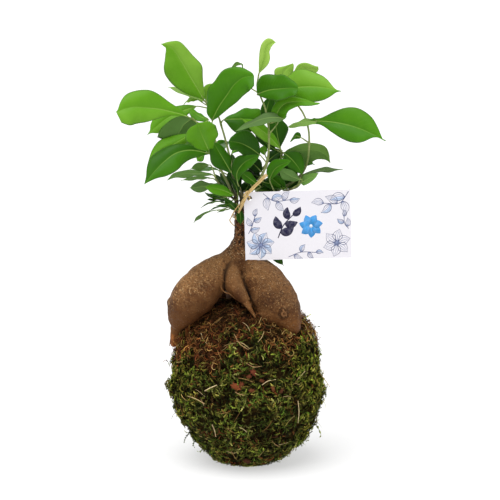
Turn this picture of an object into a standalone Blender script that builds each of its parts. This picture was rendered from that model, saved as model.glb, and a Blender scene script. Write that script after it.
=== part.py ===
"""Kokedama moss ball plant: a small fig tree with swollen roots astride a moss-wrapped ball of soil.

Metres, +Z up. The origin is the middle of the flat spot under the ball, and -Y faces the viewer.
Places on the plant are read off a front drawing as (column, row, depth): columns run right and rows run
down in drawing steps, and the depth is millimetres along +Y. seen() turns such a place into a point.
"""

import math
import random

import bmesh
import bpy
import numpy as np
from mathutils import Matrix, Vector

MM = 0.001

# Front drawing: how far one step reaches, and where the eye that sees it stands
STEP = 0.81 * MM
MIDDLE = 250.0
VIEW_DISTANCE = 1400 * MM
VIEW_TILT = math.radians(9)
AIM = np.array([3.2, 0.0, 175.0]) * MM

# Clearance between neighbouring solids
GAP = 0.3 * MM

# Ball: (height, radius) up the outside of the moss, in millimetres
BALL_PROFILE = (
    (0, 0), (0, 15), (2.5, 19.5), (8, 28), (16, 37), (26, 46.5), (35, 53), (45, 58), (54, 60.2), (63, 60.8),
    (73, 59.6), (84, 58.2), (96, 56.5), (105, 53.8), (113, 49.8), (120, 44), (126, 36.5), (131, 26),
    (134.5, 13), (135.5, 0),
)
MOSS_THICKNESS = 9 * MM
CAP_HEIGHT = 96 * MM
BALL_STEPS = 38
SOIL_STEPS = 24
SOIL_CLEARANCE = 0.4 * MM

# Moss tufts: round swellings about a middle, lower towards the flat spot
TUFT_COUNT = 110
TUFT_HEIGHT = 2.4 * MM
TUFT_REACH = 9 * MM
TUFT_MIDDLE = 66 * MM
TUFT_RADIUS = 62 * MM
TUFT_CROWDING = 1.3
TUFT_FADE = 14 * MM

# Roots: spines of (column, row, depth, radius in millimetres)
TRUNK_SPINE = (
    (241, 206, 0, 5.4), (241, 220, 0, 5.4), (241.5, 232, -0.5, 6), (242, 241, -1, 8), (242, 249, -1, 11),
    (242, 258, -2, 13.5),
)
ROOT_SPINES = {
    "left": ((234, 252, -2, 8), (225.5, 263, -6, 11), (214.5, 273, -11, 13.5), (205, 283, -16, 17),
             (194, 294, -19, 17.6), (184.5, 306, -20, 14.4), (179, 316, -18, 9.6), (176.5, 326, -15, 4.9),
             (174.4, 334, -12, 3.4), (173.3, 344, -9, 2.5)),
    "right": ((248, 262, -3, 10.5), (255, 271, -8, 13), (263, 281.5, -14, 16.4), (272, 295, -19, 17.4),
              (281.5, 309, -24, 14.8), (290, 320, -27, 9.4), (296, 327, -28, 4.2)),
    "middle": ((237, 256, -3, 7), (234, 266, -9, 7.4), (232.5, 275, -15, 7.2), (234, 283, -20, 7),
               (238, 291, -24, 5.2), (243, 298, -27, 3.2), (247.5, 304, -29, 1.8), (250, 308, -30, 1.4)),
    "back": ((246, 262, 6, 12), (254, 278, 20, 14), (262, 295, 33, 12.5), (268, 310, 44, 9),
             (272, 323, 51, 4.5)),
    "back_left": ((238, 264, 8, 10), (228, 280, 20, 10.5), (219, 295, 32, 9), (212, 308, 41, 5),
                  (208, 318, 46, 2.5)),
}
TRUNK_STATIONS = 12
ROOT_STATIONS = 16
ROOT_VOXEL = 1.7 * MM
ROOT_TRIANGLES = 1900
MOSS_CLEARANCE = 0.4 * MM

# Root plug that stands in the soil: (x, y, height, radius), and the room round it, in millimetres
PLUG = ((-3, 7, 152, 14), (-3, 7, 132, 12.5), (-3, 7, 96, 8))
PLUG_ROOM = 1.2
PLUG_END_ROOM = 1.0

# Card: 85 x 55 mm, punched in its upper left corner
CARD_SIZE = (85 * MM, 55 * MM)
CARD_THICKNESS = 0.6 * MM
CARD_MIDDLE = (297.8, 225.0, -16.6)
CARD_TURN = math.radians(1.6)
HOLE_RADIUS = 2.0 * MM
HOLE_PLACE = (249.6, 198.4, -16.6)
HOLE_SIDES = 16

# Tie of raffia: spines as for the roots
TIE_SPINES = (
    ((236, 217, -5.8, 0.9), (238.5, 210, -11, 0.9), (243, 202, -18.4, 1.0), (247.5, 195.5, -19.4, 1.1),
     (252, 190, -19.6, 1.0), (259, 183, -20, 1.0), (267, 175, -20.5, 1.1)),
    ((247.5, 195.5, -19.2, 0.7), (249.4, 197.8, -18.6, 0.7), (249.6, 198.4, -16.6, 0.7),
     (247, 201.5, -13.5, 0.7), (241, 208, -9.5, 0.7), (237, 217, -6.4, 0.7)),
    ((235.5, 216.5, -5.4, 0.6), (231, 220, -7, 0.6), (232, 225, -6.5, 0.6), (236, 227.5, -7, 0.6)),
)
TIE_RING = (241, 219, 0)
TIE_RING_RADIUS = 6.9 * MM
TIE_RING_WIRE = 0.8 * MM
TIE_RING_LEAN = math.radians(-24)
TIE_RING_SIDES = 16

# Leaves
BLADE_THICKNESS = 0.7 * MM
BLADE_ROWS = 7
SMALL_BLADE_ROWS = 5
SMALL_BLADE = 26 * MM
BLADE_LEAST_WIDTH = 0.03
DRIP_TIP_START = 0.92
DRIP_TIP_WIDTH = 0.12
HOOK_START = 0.82
PETIOLE_RADIUS = 0.55 * MM
PETIOLE_SUNK = 3 * MM
TWIG_RISE = 5 * MM


def leaf(seat, base, mid, tip, left, right, peak=0.6, blunt=0.75, end=0.95, hook=0):
    """One leaf. Its rib runs base, mid, tip; left and right give each half's (steps across, mm in depth).

    peak: where along the rib the blade is widest; blunt: smaller is rounder; end: where the round part of
    the blade stops and its drip tip starts; hook: steps that the last stretch bends to its left.
    """
    return {"seat": seat, "base": base, "mid": mid, "tip": tip, "left": left, "right": right,
            "peak": peak, "blunt": blunt, "end": end, "hook": hook}


# Sprays: twigs of (column, row, depth), each with its radii at both ends, and the leaves that they carry
SPRAYS = {
    "spray_left": {
        "foot": (-4.0, -1.4),
        "twigs": (
            (((231, 190, -7), (222, 172, -12), (212, 156, -17), (204, 139, -20), (198, 123, -22)),
             1.35, 0.8),
            (((236, 200.5, -1.6), (229, 195, -4), (222, 188, -6), (216, 179, -7)), 1.1, 0.7),
        ),
        "leaves": {
            "L3": leaf((198, 123, -22), (189, 117.5, -26), (153, 108, -32), (116.5, 112, -38),
                       (16, -3), (17.5, 5), peak=0.7, blunt=0.62, end=0.99),
            "L6": leaf((199, 126, -21), (192, 117.5, -18), (180, 133, -17), (168, 150, -15),
                       (11, 8), (19, -6), peak=0.55),
            "L7": leaf((203, 137, -20), (196, 131, -20), (174, 144, -26), (149, 161, -34),
                       (8, -8), (10, 6)),
            "L8": leaf((212, 156, -17), (209, 154, -22), (182, 153, -36), (144.5, 184, -46),
                       (12.5, -3), (9.5, 5), peak=0.68, blunt=0.62),
            "L9": leaf((213, 158, -16), (212, 153, -24), (203.5, 135, -38), (199, 120, -50),
                       (19, -2), (14, -4), peak=0.5, blunt=0.62),
            "L5": leaf((210, 152, -18), (206, 153, -16), (201, 157, -17), (197, 161.5, -18),
                       (4, -2), (4, 3)),
            "L25": leaf((199, 125, -21), (207, 121, -14), (198, 114, -11), (188, 108, -8),
                        (4.5, -3), (4, 4)),
            "L12": leaf((216, 179, -7), (213, 176, -9), (189, 173.5, -14), (166, 181, -20),
                        (4.4, 5), (4.2, -5)),
            "L11": leaf((216, 179, -7), (210.5, 165, -2), (202, 166, 0), (190, 169, 2),
                        (4.5, 3), (4.5, -3)),
            "L13": leaf((219, 183, -6), (213, 178.5, 1), (200, 178, 3), (181, 180.5, 5),
                        (2.4, 4), (2.8, -4)),
            "L14": leaf((222, 188, -6), (216, 184.5, -10), (203, 186.5, -14), (189, 188, -18),
                        (5.2, -3), (5.5, 3)),
            "L15": leaf((229, 195, -4), (234, 195, -13), (221, 189.5, -20), (205, 187.3, -26),
                        (4.5, -4), (5, 4)),
            "L16": leaf((229, 195, -4), (228, 199, 2), (219, 197, 4), (205, 193.5, 6),
                        (2.5, 4), (2.5, -4)),
            "L17": leaf((236, 203, -1.4), (226, 203, -2), (214, 202, -3), (200.5, 208, -4),
                        (1.3, 4), (1.5, -4)),
            "L18": leaf((236, 204, -1.4), (222, 209.5, -8), (206, 213, -10), (193.5, 223, -13),
                        (1.9, 4), (2.3, -4), peak=0.72),
            "L19": leaf((236, 203.5, -1.4), (228, 209.5, 3), (224, 210, 5), (217, 212.5, 7),
                        (1.3, 2), (1.3, -2)),
        },
    },
    "spray_mid_left": {
        "foot": (0, 0),
        "twigs": (
            (((235, 184, -2), (231, 163, -4), (227, 146, -5), (222, 128, -6), (217, 114, -6),
              (210, 107, -5)), 1.3, 0.7),
        ),
        "leaves": {
            "L1": leaf((210, 107, -5), (205, 101, -7), (187, 68, -12), (163, 42.5, -18),
                       (16.5, -3), (17, 3), peak=0.66, blunt=0.62, hook=2),
            "L2": leaf((217, 114, -6), (211, 120, -16), (228, 93, -25), (254, 75.5, -34),
                       (20, 4), (11, -8), peak=0.52, blunt=0.6, end=1.0),
            "L22": leaf((210, 107, -5), (207, 104, 0), (211, 93, 2), (219, 84, 5),
                        (7, -2), (8, 3)),
            "L23": leaf((210, 107, -5), (203, 102, 2), (188, 91.5, 4), (167.5, 87, 6),
                        (1.8, -6), (2.6, 5)),
            "L24": leaf((211, 109, -5), (205, 101, 5), (193, 98, 8), (181.5, 105.5, 10),
                        (4.5, -5), (3, 5)),
            "L4": leaf((212, 110, -5), (197, 106, -4), (171, 110, -6), (147, 135, -9),
                       (12, -4), (8, 6), peak=0.62),
            "L26": leaf((221, 124, -6), (223.5, 119.5, -4), (244, 120, -1), (264, 121, 6),
                        (11, 8), (13, -6), peak=0.5, blunt=0.65),
            "L10": leaf((230, 160, -4), (230, 170, -9), (222, 156, -13), (215, 138, -17),
                        (7, -5), (8.5, 4), peak=0.5),
        },
    },
    "spray_centre": {
        "foot": (1.8, -3.6),
        "twigs": (
            (((252, 190, -6), (262, 175, -9), (267, 162, -10), (269, 140, -11), (268, 122, -10),
              (265, 108, -9), (260, 95, -8), (257, 86, -7), (258.5, 76, -6)), 1.35, 0.6),
            (((243.2, 201, -3.6), (242, 196, -6), (240, 188, -9)), 0.9, 0.7),
        ),
        "leaves": {
            "L44": leaf((260, 95, -8), (257.5, 93, -12), (277, 88.5, -20), (298, 88, -28),
                        (13, 3), (10.5, -7), peak=0.5, blunt=0.5, end=1.0),
            "L47": leaf((258.5, 76, -6), (258.7, 73.5, -6), (264, 56, -8), (269.5, 39.5, -12),
                        (5, -3), (5.8, -2), peak=0.5, blunt=0.6, end=0.97, hook=-5.5),
            "L21": leaf((258, 94, -8), (248, 91, 2), (240, 76, 4), (238.7, 60, 6),
                        (2.8, -6), (4, 4)),
            "L40": leaf((268, 122, -10), (262, 119, 2), (265, 109, 5), (271, 98, 8),
                        (6, -2), (5.5, 2)),
            "L28": leaf((270, 134, -11), (277, 122, -16), (285, 103, -22), (320, 103, -30),
                        (5, 3), (9.5, -6), peak=0.42, blunt=0.7),
            "L27": leaf((268, 124, -10), (284, 114.5, -22), (262, 119.5, -28), (235, 131.5, -34),
                        (2.4, -7), (3, 7)),
            "L30": leaf((267, 163, -10), (260, 155, -14), (244, 143.5, -20), (226, 141.5, -28),
                        (9.5, -5), (13, 3), peak=0.55, blunt=0.65),
            "L41": leaf((268, 160, -10), (265.5, 156, -4), (264, 151, -3), (264.5, 145, -2),
                        (4.5, -1), (3.5, 1)),
            "L31": leaf((240, 188, -9), (238, 183.5, -14), (240.5, 169, -21), (260, 155, -28),
                        (10, 2), (7.5, -6), blunt=0.7),
            "L32": leaf((252, 190, -6), (261, 187, -9), (250, 179, -12), (240, 171.5, -15),
                        (5, -2), (5, 2), blunt=0.65),
        },
    },
    "spray_right": {
        "foot": (4.2, -0.6),
        "twigs": (
            (((262, 198, 2), (284, 187, 4), (300, 176, 2), (306, 166, 0), (309, 147, -2),
              (308, 127, -3), (303, 113, -2), (296, 103, 0), (290, 94, 2)), 1.3, 0.65),
            (((262, 198, 2), (276, 195, -3), (286, 191, -5), (297, 187, -5)), 1.0, 0.7),
        ),
        "leaves": {
            "L46": leaf((290, 94, 2), (286, 89.5, -1), (313, 86.5, -8), (340.5, 91.5, -14),
                        (16.5, 6), (14, -5), peak=0.5, blunt=0.9, end=0.93),
            "L43": leaf((290, 94, 2), (286, 88, 7), (285, 77, 10), (293.5, 64, 13),
                        (9, -2), (5, 2), peak=0.65, blunt=0.65),
            "L45": leaf((291, 95, 2), (292, 86, 12), (304, 75, 16), (318, 67.5, 20),
                        (10, -2), (6, 3), blunt=0.55),
            "L48": leaf((308, 124, -3), (314, 121.3, -6), (349, 125, -14), (385.5, 141, -22),
                        (17.5, 4), (13, -5), peak=0.64, blunt=0.78),
            "L49": leaf((308, 123, -3), (314, 121, -8), (301, 122.5, -12), (287.5, 127, -16),
                        (2.4, -5), (2.6, 5)),
            "L42": leaf((309, 143, -2), (301, 137.5, -6), (296, 135.5, -8), (289.5, 140.5, -10),
                        (1.8, -2), (2.8, 2)),
            "L33": leaf((276, 195, -3), (270, 180, -11), (276.5, 169.5, -16), (295, 163.5, -22),
                        (9, 2), (4.5, -6), blunt=0.65),
            "L34": leaf((292, 189, -5), (302, 178.5, -10), (291, 175.5, -12), (279, 169.5, -15),
                        (5, 4), (5, -4)),
            "L35": leaf((297, 187, -5), (301, 179.5, -6), (309, 179, -9), (318.5, 174, -12),
                        (5, 3), (6, -3), peak=0.45),
            "L36": leaf((297, 187, -5), (307, 176.5, -2), (322, 169.5, -4), (342, 170, -7),
                        (2.8, -5), (3, 5)),
            "L20": leaf((262, 198, 2), (264, 240, 3), (273, 252, 0), (284, 266, -3),
                        (5, 2), (5, -2)),
        },
    },
    "spray_inner_right": {
        "foot": (2.6, 3.4),
        "twigs": (
            (((258, 194, 9), (270, 180, 8), (279, 166, 4), (282, 153, 0)), 1.2, 0.8),
        ),
        "leaves": {
            "L29": leaf((282, 153, 0), (281, 150.5, -4), (262, 133, -6), (240, 118, -12),
                        (6, -4), (8, 5)),
            "L39": leaf((282, 153, 0), (281.5, 149.5, 5), (280, 135, 6), (276, 120.5, 8),
                        (8, -3), (8, 3)),
            "L37": leaf((282, 154, 0), (285, 152, 7), (308, 151, 6), (330.5, 163, 3),
                        (9.5, -6), (8.5, 6), peak=0.62, blunt=0.6, end=0.97),
            "L38": leaf((282, 155, 0), (283.5, 154, -4), (293, 163, -6), (302, 175, -8),
                        (9, 3), (5.5, -3)),
        },
    },
    "spray_back_left": {
        "foot": (-3.0, 3.0),
        "twigs": (
            (((233, 185, 12), (227, 167, 20), (221, 154, 26), (215, 140, 30), (211, 125, 33)), 1.2, 0.7),
        ),
        "leaves": {
            "K1": leaf((211, 125, 33), (213, 120, 35), (221, 101, 40), (233, 82, 44),
                       (11, -4), (10, 5)),
            "K2": leaf((212, 129, 32), (206, 129, 36), (191, 125, 48), (172, 131, 62),
                       (9, 9), (8, -7)),
            "K3": leaf((216, 142, 29), (210, 143, 33), (192, 142, 45), (173, 153, 58),
                       (9, 8), (9, -8)),
            "K4": leaf((220, 152, 27), (219, 148, 34), (220, 145, 52), (223, 151, 74),
                       (10, 2), (10, 4)),
            "K5": leaf((224, 160, 23), (230, 156, 30), (240, 145, 46), (249, 141, 64),
                       (8, 7), (7, -7)),
            "K12": leaf((233, 185, 12), (228, 186, 18), (216, 184, 32), (203, 189, 47),
                        (4, 9), (3, -9)),
            "K13": leaf((230, 176, 16), (222, 172, 22), (207, 168, 38), (192, 173, 54),
                        (4, 9), (4, -9)),
        },
    },
    "spray_back_right": {
        "foot": (-0.2, 4.4),
        "twigs": (
            (((247, 188, 16), (258, 174, 24), (269, 160, 30), (276, 142, 34), (279, 126, 36)), 1.2, 0.7),
        ),
        "leaves": {
            "K6": leaf((279, 126, 36), (280, 121, 38), (283, 103, 42), (290, 84, 46),
                       (10, -4), (10, 5)),
            "K7": leaf((271, 157, 30), (277, 156, 36), (296, 150, 48), (319, 155, 60),
                       (9, 9), (8, -7)),
            "K8": leaf((277, 140, 34), (277, 136, 40), (277, 131, 58), (280, 138, 79),
                       (9, 2), (10, 4)),
            "K9": leaf((273, 150, 32), (268, 144, 38), (261, 130, 50), (251, 123, 64),
                       (7, 8), (7, -7)),
            "K10": leaf((263, 168, 26), (269, 168, 31), (282, 168, 42), (297, 176, 55),
                        (8, 8), (7, -8)),
            "K11": leaf((256, 177, 22), (252, 172, 28), (247, 165, 42), (241, 167, 58),
                        (8, 6), (8, -4)),
            "K14": leaf((250, 184, 18), (258, 186, 24), (272, 186, 38), (288, 186, 52),
                        (3, 9), (3, -9)),
        },
    },
}

# Colours: (red, green, blue, roughness)
MATERIALS = {
    "soil": (0.035, 0.022, 0.014, 0.95),
    "green_moss": (0.09, 0.13, 0.02, 0.9),
    "dry_moss": (0.16, 0.09, 0.035, 0.9),
    "bark": (0.17, 0.095, 0.05, 0.7),
    "leaf_green": (0.08, 0.27, 0.025, 0.45),
    "card_paper": (0.88, 0.89, 0.91, 0.6),
    "raffia": (0.62, 0.46, 0.24, 0.75),
}

FORWARD = np.array([0.0, math.cos(VIEW_TILT), -math.sin(VIEW_TILT)])
UPWARD = np.array([0.0, math.sin(VIEW_TILT), math.cos(VIEW_TILT)])
SIDEWAYS = np.array([1.0, 0.0, 0.0])
DEPTH = np.array([0.0, 1.0, 0.0])
EYE = AIM - FORWARD * VIEW_DISTANCE


def seen(column, row, depth):
    """Return the point at a depth (mm) that the eye sees at a place of the front drawing."""
    ray = FORWARD * VIEW_DISTANCE + SIDEWAYS * (column - MIDDLE) * STEP + UPWARD * (MIDDLE - row) * STEP
    return EYE + ray * ((depth * MM - EYE[1]) / ray[1])


def clear_scene():
    """Remove every object of the scene."""
    for obj in list(bpy.data.objects):
        bpy.data.objects.remove(obj)


def new_collection(name):
    """Make a collection under the scene's own."""
    collection = bpy.data.collections.new(name)
    bpy.context.scene.collection.children.link(collection)
    return collection


def make_material(name):
    """Make a Principled material from its colour and roughness."""
    red, green, blue, roughness = MATERIALS[name]
    material = bpy.data.materials.new(name)
    material.use_nodes = True
    shader = material.node_tree.nodes["Principled BSDF"]
    shader.inputs["Base Color"].default_value = (red, green, blue, 1.0)
    shader.inputs["Roughness"].default_value = roughness
    shader.inputs["Metallic"].default_value = 0.0
    return material


def add_object(name, data, collection):
    """Link a new object that holds the data."""
    obj = bpy.data.objects.new(name, data)
    collection.objects.link(obj)
    return obj


def bake(obj):
    """Replace an object's data by the mesh that its modifiers or its curve give, in world space."""
    graph = bpy.context.evaluated_depsgraph_get()
    mesh = bpy.data.meshes.new_from_object(obj.evaluated_get(graph))
    mesh.transform(obj.matrix_world)
    shape = bmesh.new()
    shape.from_mesh(mesh)
    bmesh.ops.remove_doubles(shape, verts=shape.verts, dist=0.00002)
    shape.to_mesh(mesh)
    shape.free()
    collection = obj.users_collection[0]
    name = obj.name
    bpy.data.objects.remove(obj)
    return add_object(name, mesh, collection)


def tube(name, stations, collection, sides=1, cyclic=False):
    """Make a closed tube with filled caps along stations of (point, radius), with 4 + 2 * sides sides."""
    curve = bpy.data.curves.new(name, "CURVE")
    curve.dimensions = "3D"
    curve.bevel_depth = 1.0
    curve.bevel_resolution = sides
    curve.use_fill_caps = not cyclic
    spline = curve.splines.new("POLY")
    spline.points.add(len(stations) - 1)
    spline.use_cyclic_u = cyclic
    for target, (point, radius) in zip(spline.points, stations):
        target.co = (*point, 1.0)
        target.radius = radius
    return bake(add_object(name, curve, collection))


def smooth_spine(points, radii, count):
    """Return count stations on a smooth curve through the points."""
    points = np.asarray(points, float)
    radii = np.asarray(radii, float)
    lengths = np.linalg.norm(np.diff(points, axis=0), axis=1)
    places = np.concatenate([[0.0], np.cumsum(lengths)])
    slopes = np.gradient(points, places, axis=0)
    stations = []
    for place in np.linspace(0.0, places[-1], count):
        k = min(int(np.searchsorted(places, place, side="right")) - 1, len(points) - 2)
        span = places[k + 1] - places[k]
        t = (place - places[k]) / span
        point = ((2 * t ** 3 - 3 * t ** 2 + 1) * points[k] + (t ** 3 - 2 * t ** 2 + t) * span * slopes[k]
                 + (3 * t ** 2 - 2 * t ** 3) * points[k + 1] + (t ** 3 - t ** 2) * span * slopes[k + 1])
        stations.append((point, radii[k] + (radii[k + 1] - radii[k]) * t))
    return stations


def boolean(obj, operation, operand, solver="EXACT", collection=False):
    """Cut or join an object, apply the result and return the new object."""
    modifier = obj.modifiers.new(operation.title(), "BOOLEAN")
    modifier.operation = operation
    modifier.solver = solver
    if collection:
        modifier.operand_type = "COLLECTION"
        modifier.collection = operand
    else:
        modifier.object = operand
    return bake(obj)


def fuse(pieces, name, collection, solver="MANIFOLD"):
    """Join overlapping closed pieces into one body by one union on their collection."""
    first, rest = pieces[0], pieces[1:]
    group = new_collection(name + "_pieces")
    for piece in rest:
        for holder in list(piece.users_collection):
            holder.objects.unlink(piece)
        group.objects.link(piece)
    body = boolean(first, "UNION", group, solver, collection=True)
    for piece in rest:
        bpy.data.objects.remove(piece)
    bpy.data.collections.remove(group)
    for holder in list(body.users_collection):
        holder.objects.unlink(body)
    collection.objects.link(body)
    body.name = name
    body.data.name = name
    return body


def finish(obj, name, material, smooth_angle=40):
    """Name an object, give it its material and shade its round parts smooth."""
    obj.name = name
    obj.data.name = name
    obj.data.materials.clear()
    obj.data.materials.append(material)
    obj.data.shade_smooth()
    obj.data.set_sharp_from_angle(angle=math.radians(smooth_angle))
    return obj


def tufts():
    """Return the seeded middles of the moss tufts as unit directions, with their heights."""
    draw = random.Random(11)
    places = []
    for _ in range(TUFT_COUNT):
        height = draw.uniform(-0.75, 0.95)
        turn = draw.uniform(0, 2 * math.pi)
        ring = math.sqrt(1 - height ** 2)
        places.append((ring * math.cos(turn), ring * math.sin(turn), height, draw.uniform(0.35, 1.0)))
    return np.array(places)


def raise_tufts(points):
    """Move points outward by a sum of round tufts that fades towards the flat spot under the ball."""
    spokes = points - np.array([0.0, 0.0, TUFT_MIDDLE])
    directions = spokes / np.linalg.norm(spokes, axis=1)[:, None]
    places = tufts()
    angles = np.arccos(np.clip(directions @ places[:, :3].T, -1, 1))
    bumps = np.exp(-(angles * TUFT_RADIUS / TUFT_REACH) ** 2) @ places[:, 3]
    fade = np.clip(points[:, 2] / TUFT_FADE, 0, 1)
    return points + directions * (np.clip(bumps, 0, TUFT_CROWDING) * fade * TUFT_HEIGHT)[:, None]


def profile_at(height):
    """Return the outer radius of the moss at a height, in metres."""
    heights = [z * MM for z, _ in BALL_PROFILE[1:]]
    radii = [r * MM for _, r in BALL_PROFILE[1:]]
    return float(np.interp(height, heights, radii))


def turned(name, profile, collection, steps=BALL_STEPS):
    """Turn a closed profile of (height, radius) round the Z axis."""
    mesh = bpy.data.meshes.new(name)
    points = [(radius, 0.0, height) for height, radius in profile]
    count = len(points)
    closed = points[0][0] > 1e-6 or points[-1][0] > 1e-6
    edges = [(k, (k + 1) % count) for k in range(count if closed else count - 1)]
    mesh.from_pydata(points, edges, [])
    obj = add_object(name, mesh, collection)
    screw = obj.modifiers.new("Turn", "SCREW")
    screw.axis = "Z"
    screw.steps = steps
    screw.render_steps = steps
    screw.use_merge_vertices = True
    screw.merge_threshold = 0.00001
    screw.use_smooth_shade = True
    body = bake(obj)
    shape = bmesh.new()
    shape.from_mesh(body.data)
    bmesh.ops.recalc_face_normals(shape, faces=shape.faces)
    shape.to_mesh(body.data)
    shape.free()
    return body


def inner_profile(offset):
    """Return the ball's profile moved inward by an offset, as (height, radius) from foot to top."""
    outer = np.array(BALL_PROFILE[1:], float) * MM
    heights, radii = outer[:, 0], outer[:, 1]
    slope_z = np.gradient(heights)
    slope_r = np.gradient(radii)
    length = np.hypot(slope_z, slope_r)
    inner_z = heights + offset * slope_r / length
    inner_r = radii - offset * slope_z / length
    keep = (inner_r > 6 * MM) & (inner_z >= offset)
    inner = list(zip(inner_z[keep], inner_r[keep]))
    return [(offset, 0.0)] + [(offset, inner[0][1] * 0.8)] + inner[1:] + [(heights[-1] - offset, 0.0)]


def cut_profile(profile, low, high):
    """Return the part of a foot-to-top profile between two heights, with points where it is cut."""
    heights = np.array([z for z, _ in profile])
    radii = np.array([r for _, r in profile])
    foot, summit = heights[0], heights[-1]
    kept = [(z, r) for z, r in profile
            if low + 2 * MM < z < high - 2 * MM or (z == summit and z < high) or (z == foot and z > low)]
    rising = heights.argsort(kind="stable")
    if low > foot:
        kept.insert(0, (low, float(np.interp(low, heights[rising], radii[rising]))))
    if high < summit:
        kept.append((high, float(np.interp(high, heights[rising], radii[rising]))))
    return kept


def build_ball(collection, root_cutter, plug_cutter):
    """Build the soil, the green moss round it and the dry moss over its top."""
    outer = [(z * MM, r * MM) for z, r in BALL_PROFILE]
    inner = inner_profile(MOSS_THICKNESS)
    core = inner_profile(MOSS_THICKNESS + GAP + SOIL_CLEARANCE)
    core = core[:2] + core[2:-1:2] + core[-2:]

    bowl = cut_profile(outer, -1, CAP_HEIGHT) + cut_profile(inner, -1, CAP_HEIGHT)[::-1]
    cap = cut_profile(outer, CAP_HEIGHT + GAP, 1) + cut_profile(inner, CAP_HEIGHT + GAP, 1)[::-1]
    wrap = turned("moss_wrap", bowl, collection)
    top = turned("dry_moss_cap", cap, collection)
    for body in (wrap, top):
        points = np.array([vertex.co for vertex in body.data.vertices])
        reach = np.hypot(points[:, 0], points[:, 1])
        surface = np.array([profile_at(z) for z in points[:, 2]])
        outside = (reach > surface - 2 * MM) & (points[:, 2] > 0.5 * MM)
        points[outside] = raise_tufts(points[outside])
        body.data.vertices.foreach_set("co", points.ravel())
        body.data.update()
    wrap = boolean(wrap, "DIFFERENCE", root_cutter)
    top = boolean(top, "DIFFERENCE", root_cutter)
    soil = turned("soil_ball", core, collection, SOIL_STEPS)
    soil = boolean(soil, "DIFFERENCE", plug_cutter)
    return soil, wrap, top


def spine_stations(spine, count):
    """Return smooth stations for a spine of (column, row, depth, radius in mm)."""
    points = [seen(column, row, depth) for column, row, depth, _ in spine]
    radii = [radius * MM for *_, radius in spine]
    return smooth_spine(points, radii, count)


def plug_stations(room=0.0, end_room=0.0):
    """Return the root plug's stations, wider by a room and deeper by an end room, in millimetres."""
    stations = [(np.array([x, y, z]) * MM, (radius + room) * MM) for x, y, z, radius in PLUG]
    foot, radius = stations[-1]
    stations[-1] = (foot - np.array([0, 0, end_room * MM]), radius)
    return stations


def build_caudex(collection):
    """Build the swollen roots and the trunk as one body, with its root plug that stands in the soil."""
    pieces = [tube("trunk", spine_stations(TRUNK_SPINE, TRUNK_STATIONS), collection, sides=6)]
    for name, spine in ROOT_SPINES.items():
        pieces.append(tube(name + "_root", spine_stations(spine, ROOT_STATIONS), collection, sides=6))
    pieces.append(tube("plug", plug_stations(), collection, sides=6))
    body = fuse(pieces, "caudex", collection, solver="EXACT")
    remesh = body.modifiers.new("Melt", "REMESH")
    remesh.mode = "VOXEL"
    remesh.voxel_size = ROOT_VOXEL
    smooth = body.modifiers.new("Soften", "SMOOTH")
    smooth.factor = 0.5
    smooth.iterations = 6
    body = bake(body)
    reduce = body.modifiers.new("Reduce", "DECIMATE")
    reduce.use_collapse_triangulate = True
    reduce.ratio = ROOT_TRIANGLES / sum(len(face.vertices) - 2 for face in body.data.polygons)
    return largest_body(bake(body))


def largest_body(obj):
    """Keep only the largest connected body of a mesh."""
    shape = bmesh.new()
    shape.from_mesh(obj.data)
    left = set(shape.verts)
    bodies = []
    while left:
        front = [left.pop()]
        body = list(front)
        while front:
            vertex = front.pop()
            for edge in vertex.link_edges:
                other = edge.other_vert(vertex)
                if other in left:
                    left.remove(other)
                    front.append(other)
                    body.append(other)
        bodies.append(body)
    bodies.sort(key=len)
    scraps = [vertex for body in bodies[:-1] for vertex in body]
    bmesh.ops.delete(shape, geom=scraps, context="VERTS")
    shape.to_mesh(obj.data)
    shape.free()
    return obj


def grown(obj, name, distance, collection):
    """Return a cutter: a copy of an object with its surface moved outward by a distance."""
    mesh = obj.data.copy()
    copy = add_object(name, mesh, collection)
    shape = bmesh.new()
    shape.from_mesh(mesh)
    shape.normal_update()
    moves = [vertex.normal * distance for vertex in shape.verts]
    for vertex, move in zip(shape.verts, moves):
        vertex.co += move
    shape.to_mesh(mesh)
    shape.free()
    copy.hide_render = True
    copy.display_type = "WIRE"
    return copy


def blade_width(place, peak, blunt, end):
    """Return the half width (0 to 1) of a blade at a place (0 to 1) along its rib."""
    power = math.log(0.5) / math.log(peak / end)
    round_part = math.sin(math.pi * min(place / end, 1.0) ** power) ** blunt if 0 < place < end else 0.0
    drip_tip = DRIP_TIP_WIDTH * (1 - place) / (1 - DRIP_TIP_START) if place > DRIP_TIP_START else 0.0
    return max(round_part, drip_tip, BLADE_LEAST_WIDTH)


def blade_grid(shape, rows):
    """Return rib, left edge and right edge points of a blade, one of each a row."""
    base, mid, tip = (seen(*shape[key]) for key in ("base", "mid", "tip"))
    control = 2 * mid - (base + tip) / 2
    grid = []
    for place in np.linspace(0, 1, rows):
        rib = (1 - place) ** 2 * base + 2 * place * (1 - place) * control + place ** 2 * tip
        run = 2 * (1 - place) * (control - base) + 2 * place * (tip - control)
        across = np.cross(run, DEPTH)
        across /= np.linalg.norm(across)
        bend = max(0.0, (place - HOOK_START) / (1 - HOOK_START)) ** 1.5
        rib = rib + across * STEP * shape["hook"] * bend
        width = blade_width(place, shape["peak"], shape["blunt"], shape["end"])
        left = rib + (across * shape["left"][0] * STEP + DEPTH * shape["left"][1] * MM) * width
        right = rib + (-across * shape["right"][0] * STEP + DEPTH * shape["right"][1] * MM) * width
        grid.append((left, rib, right))
    return grid


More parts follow.
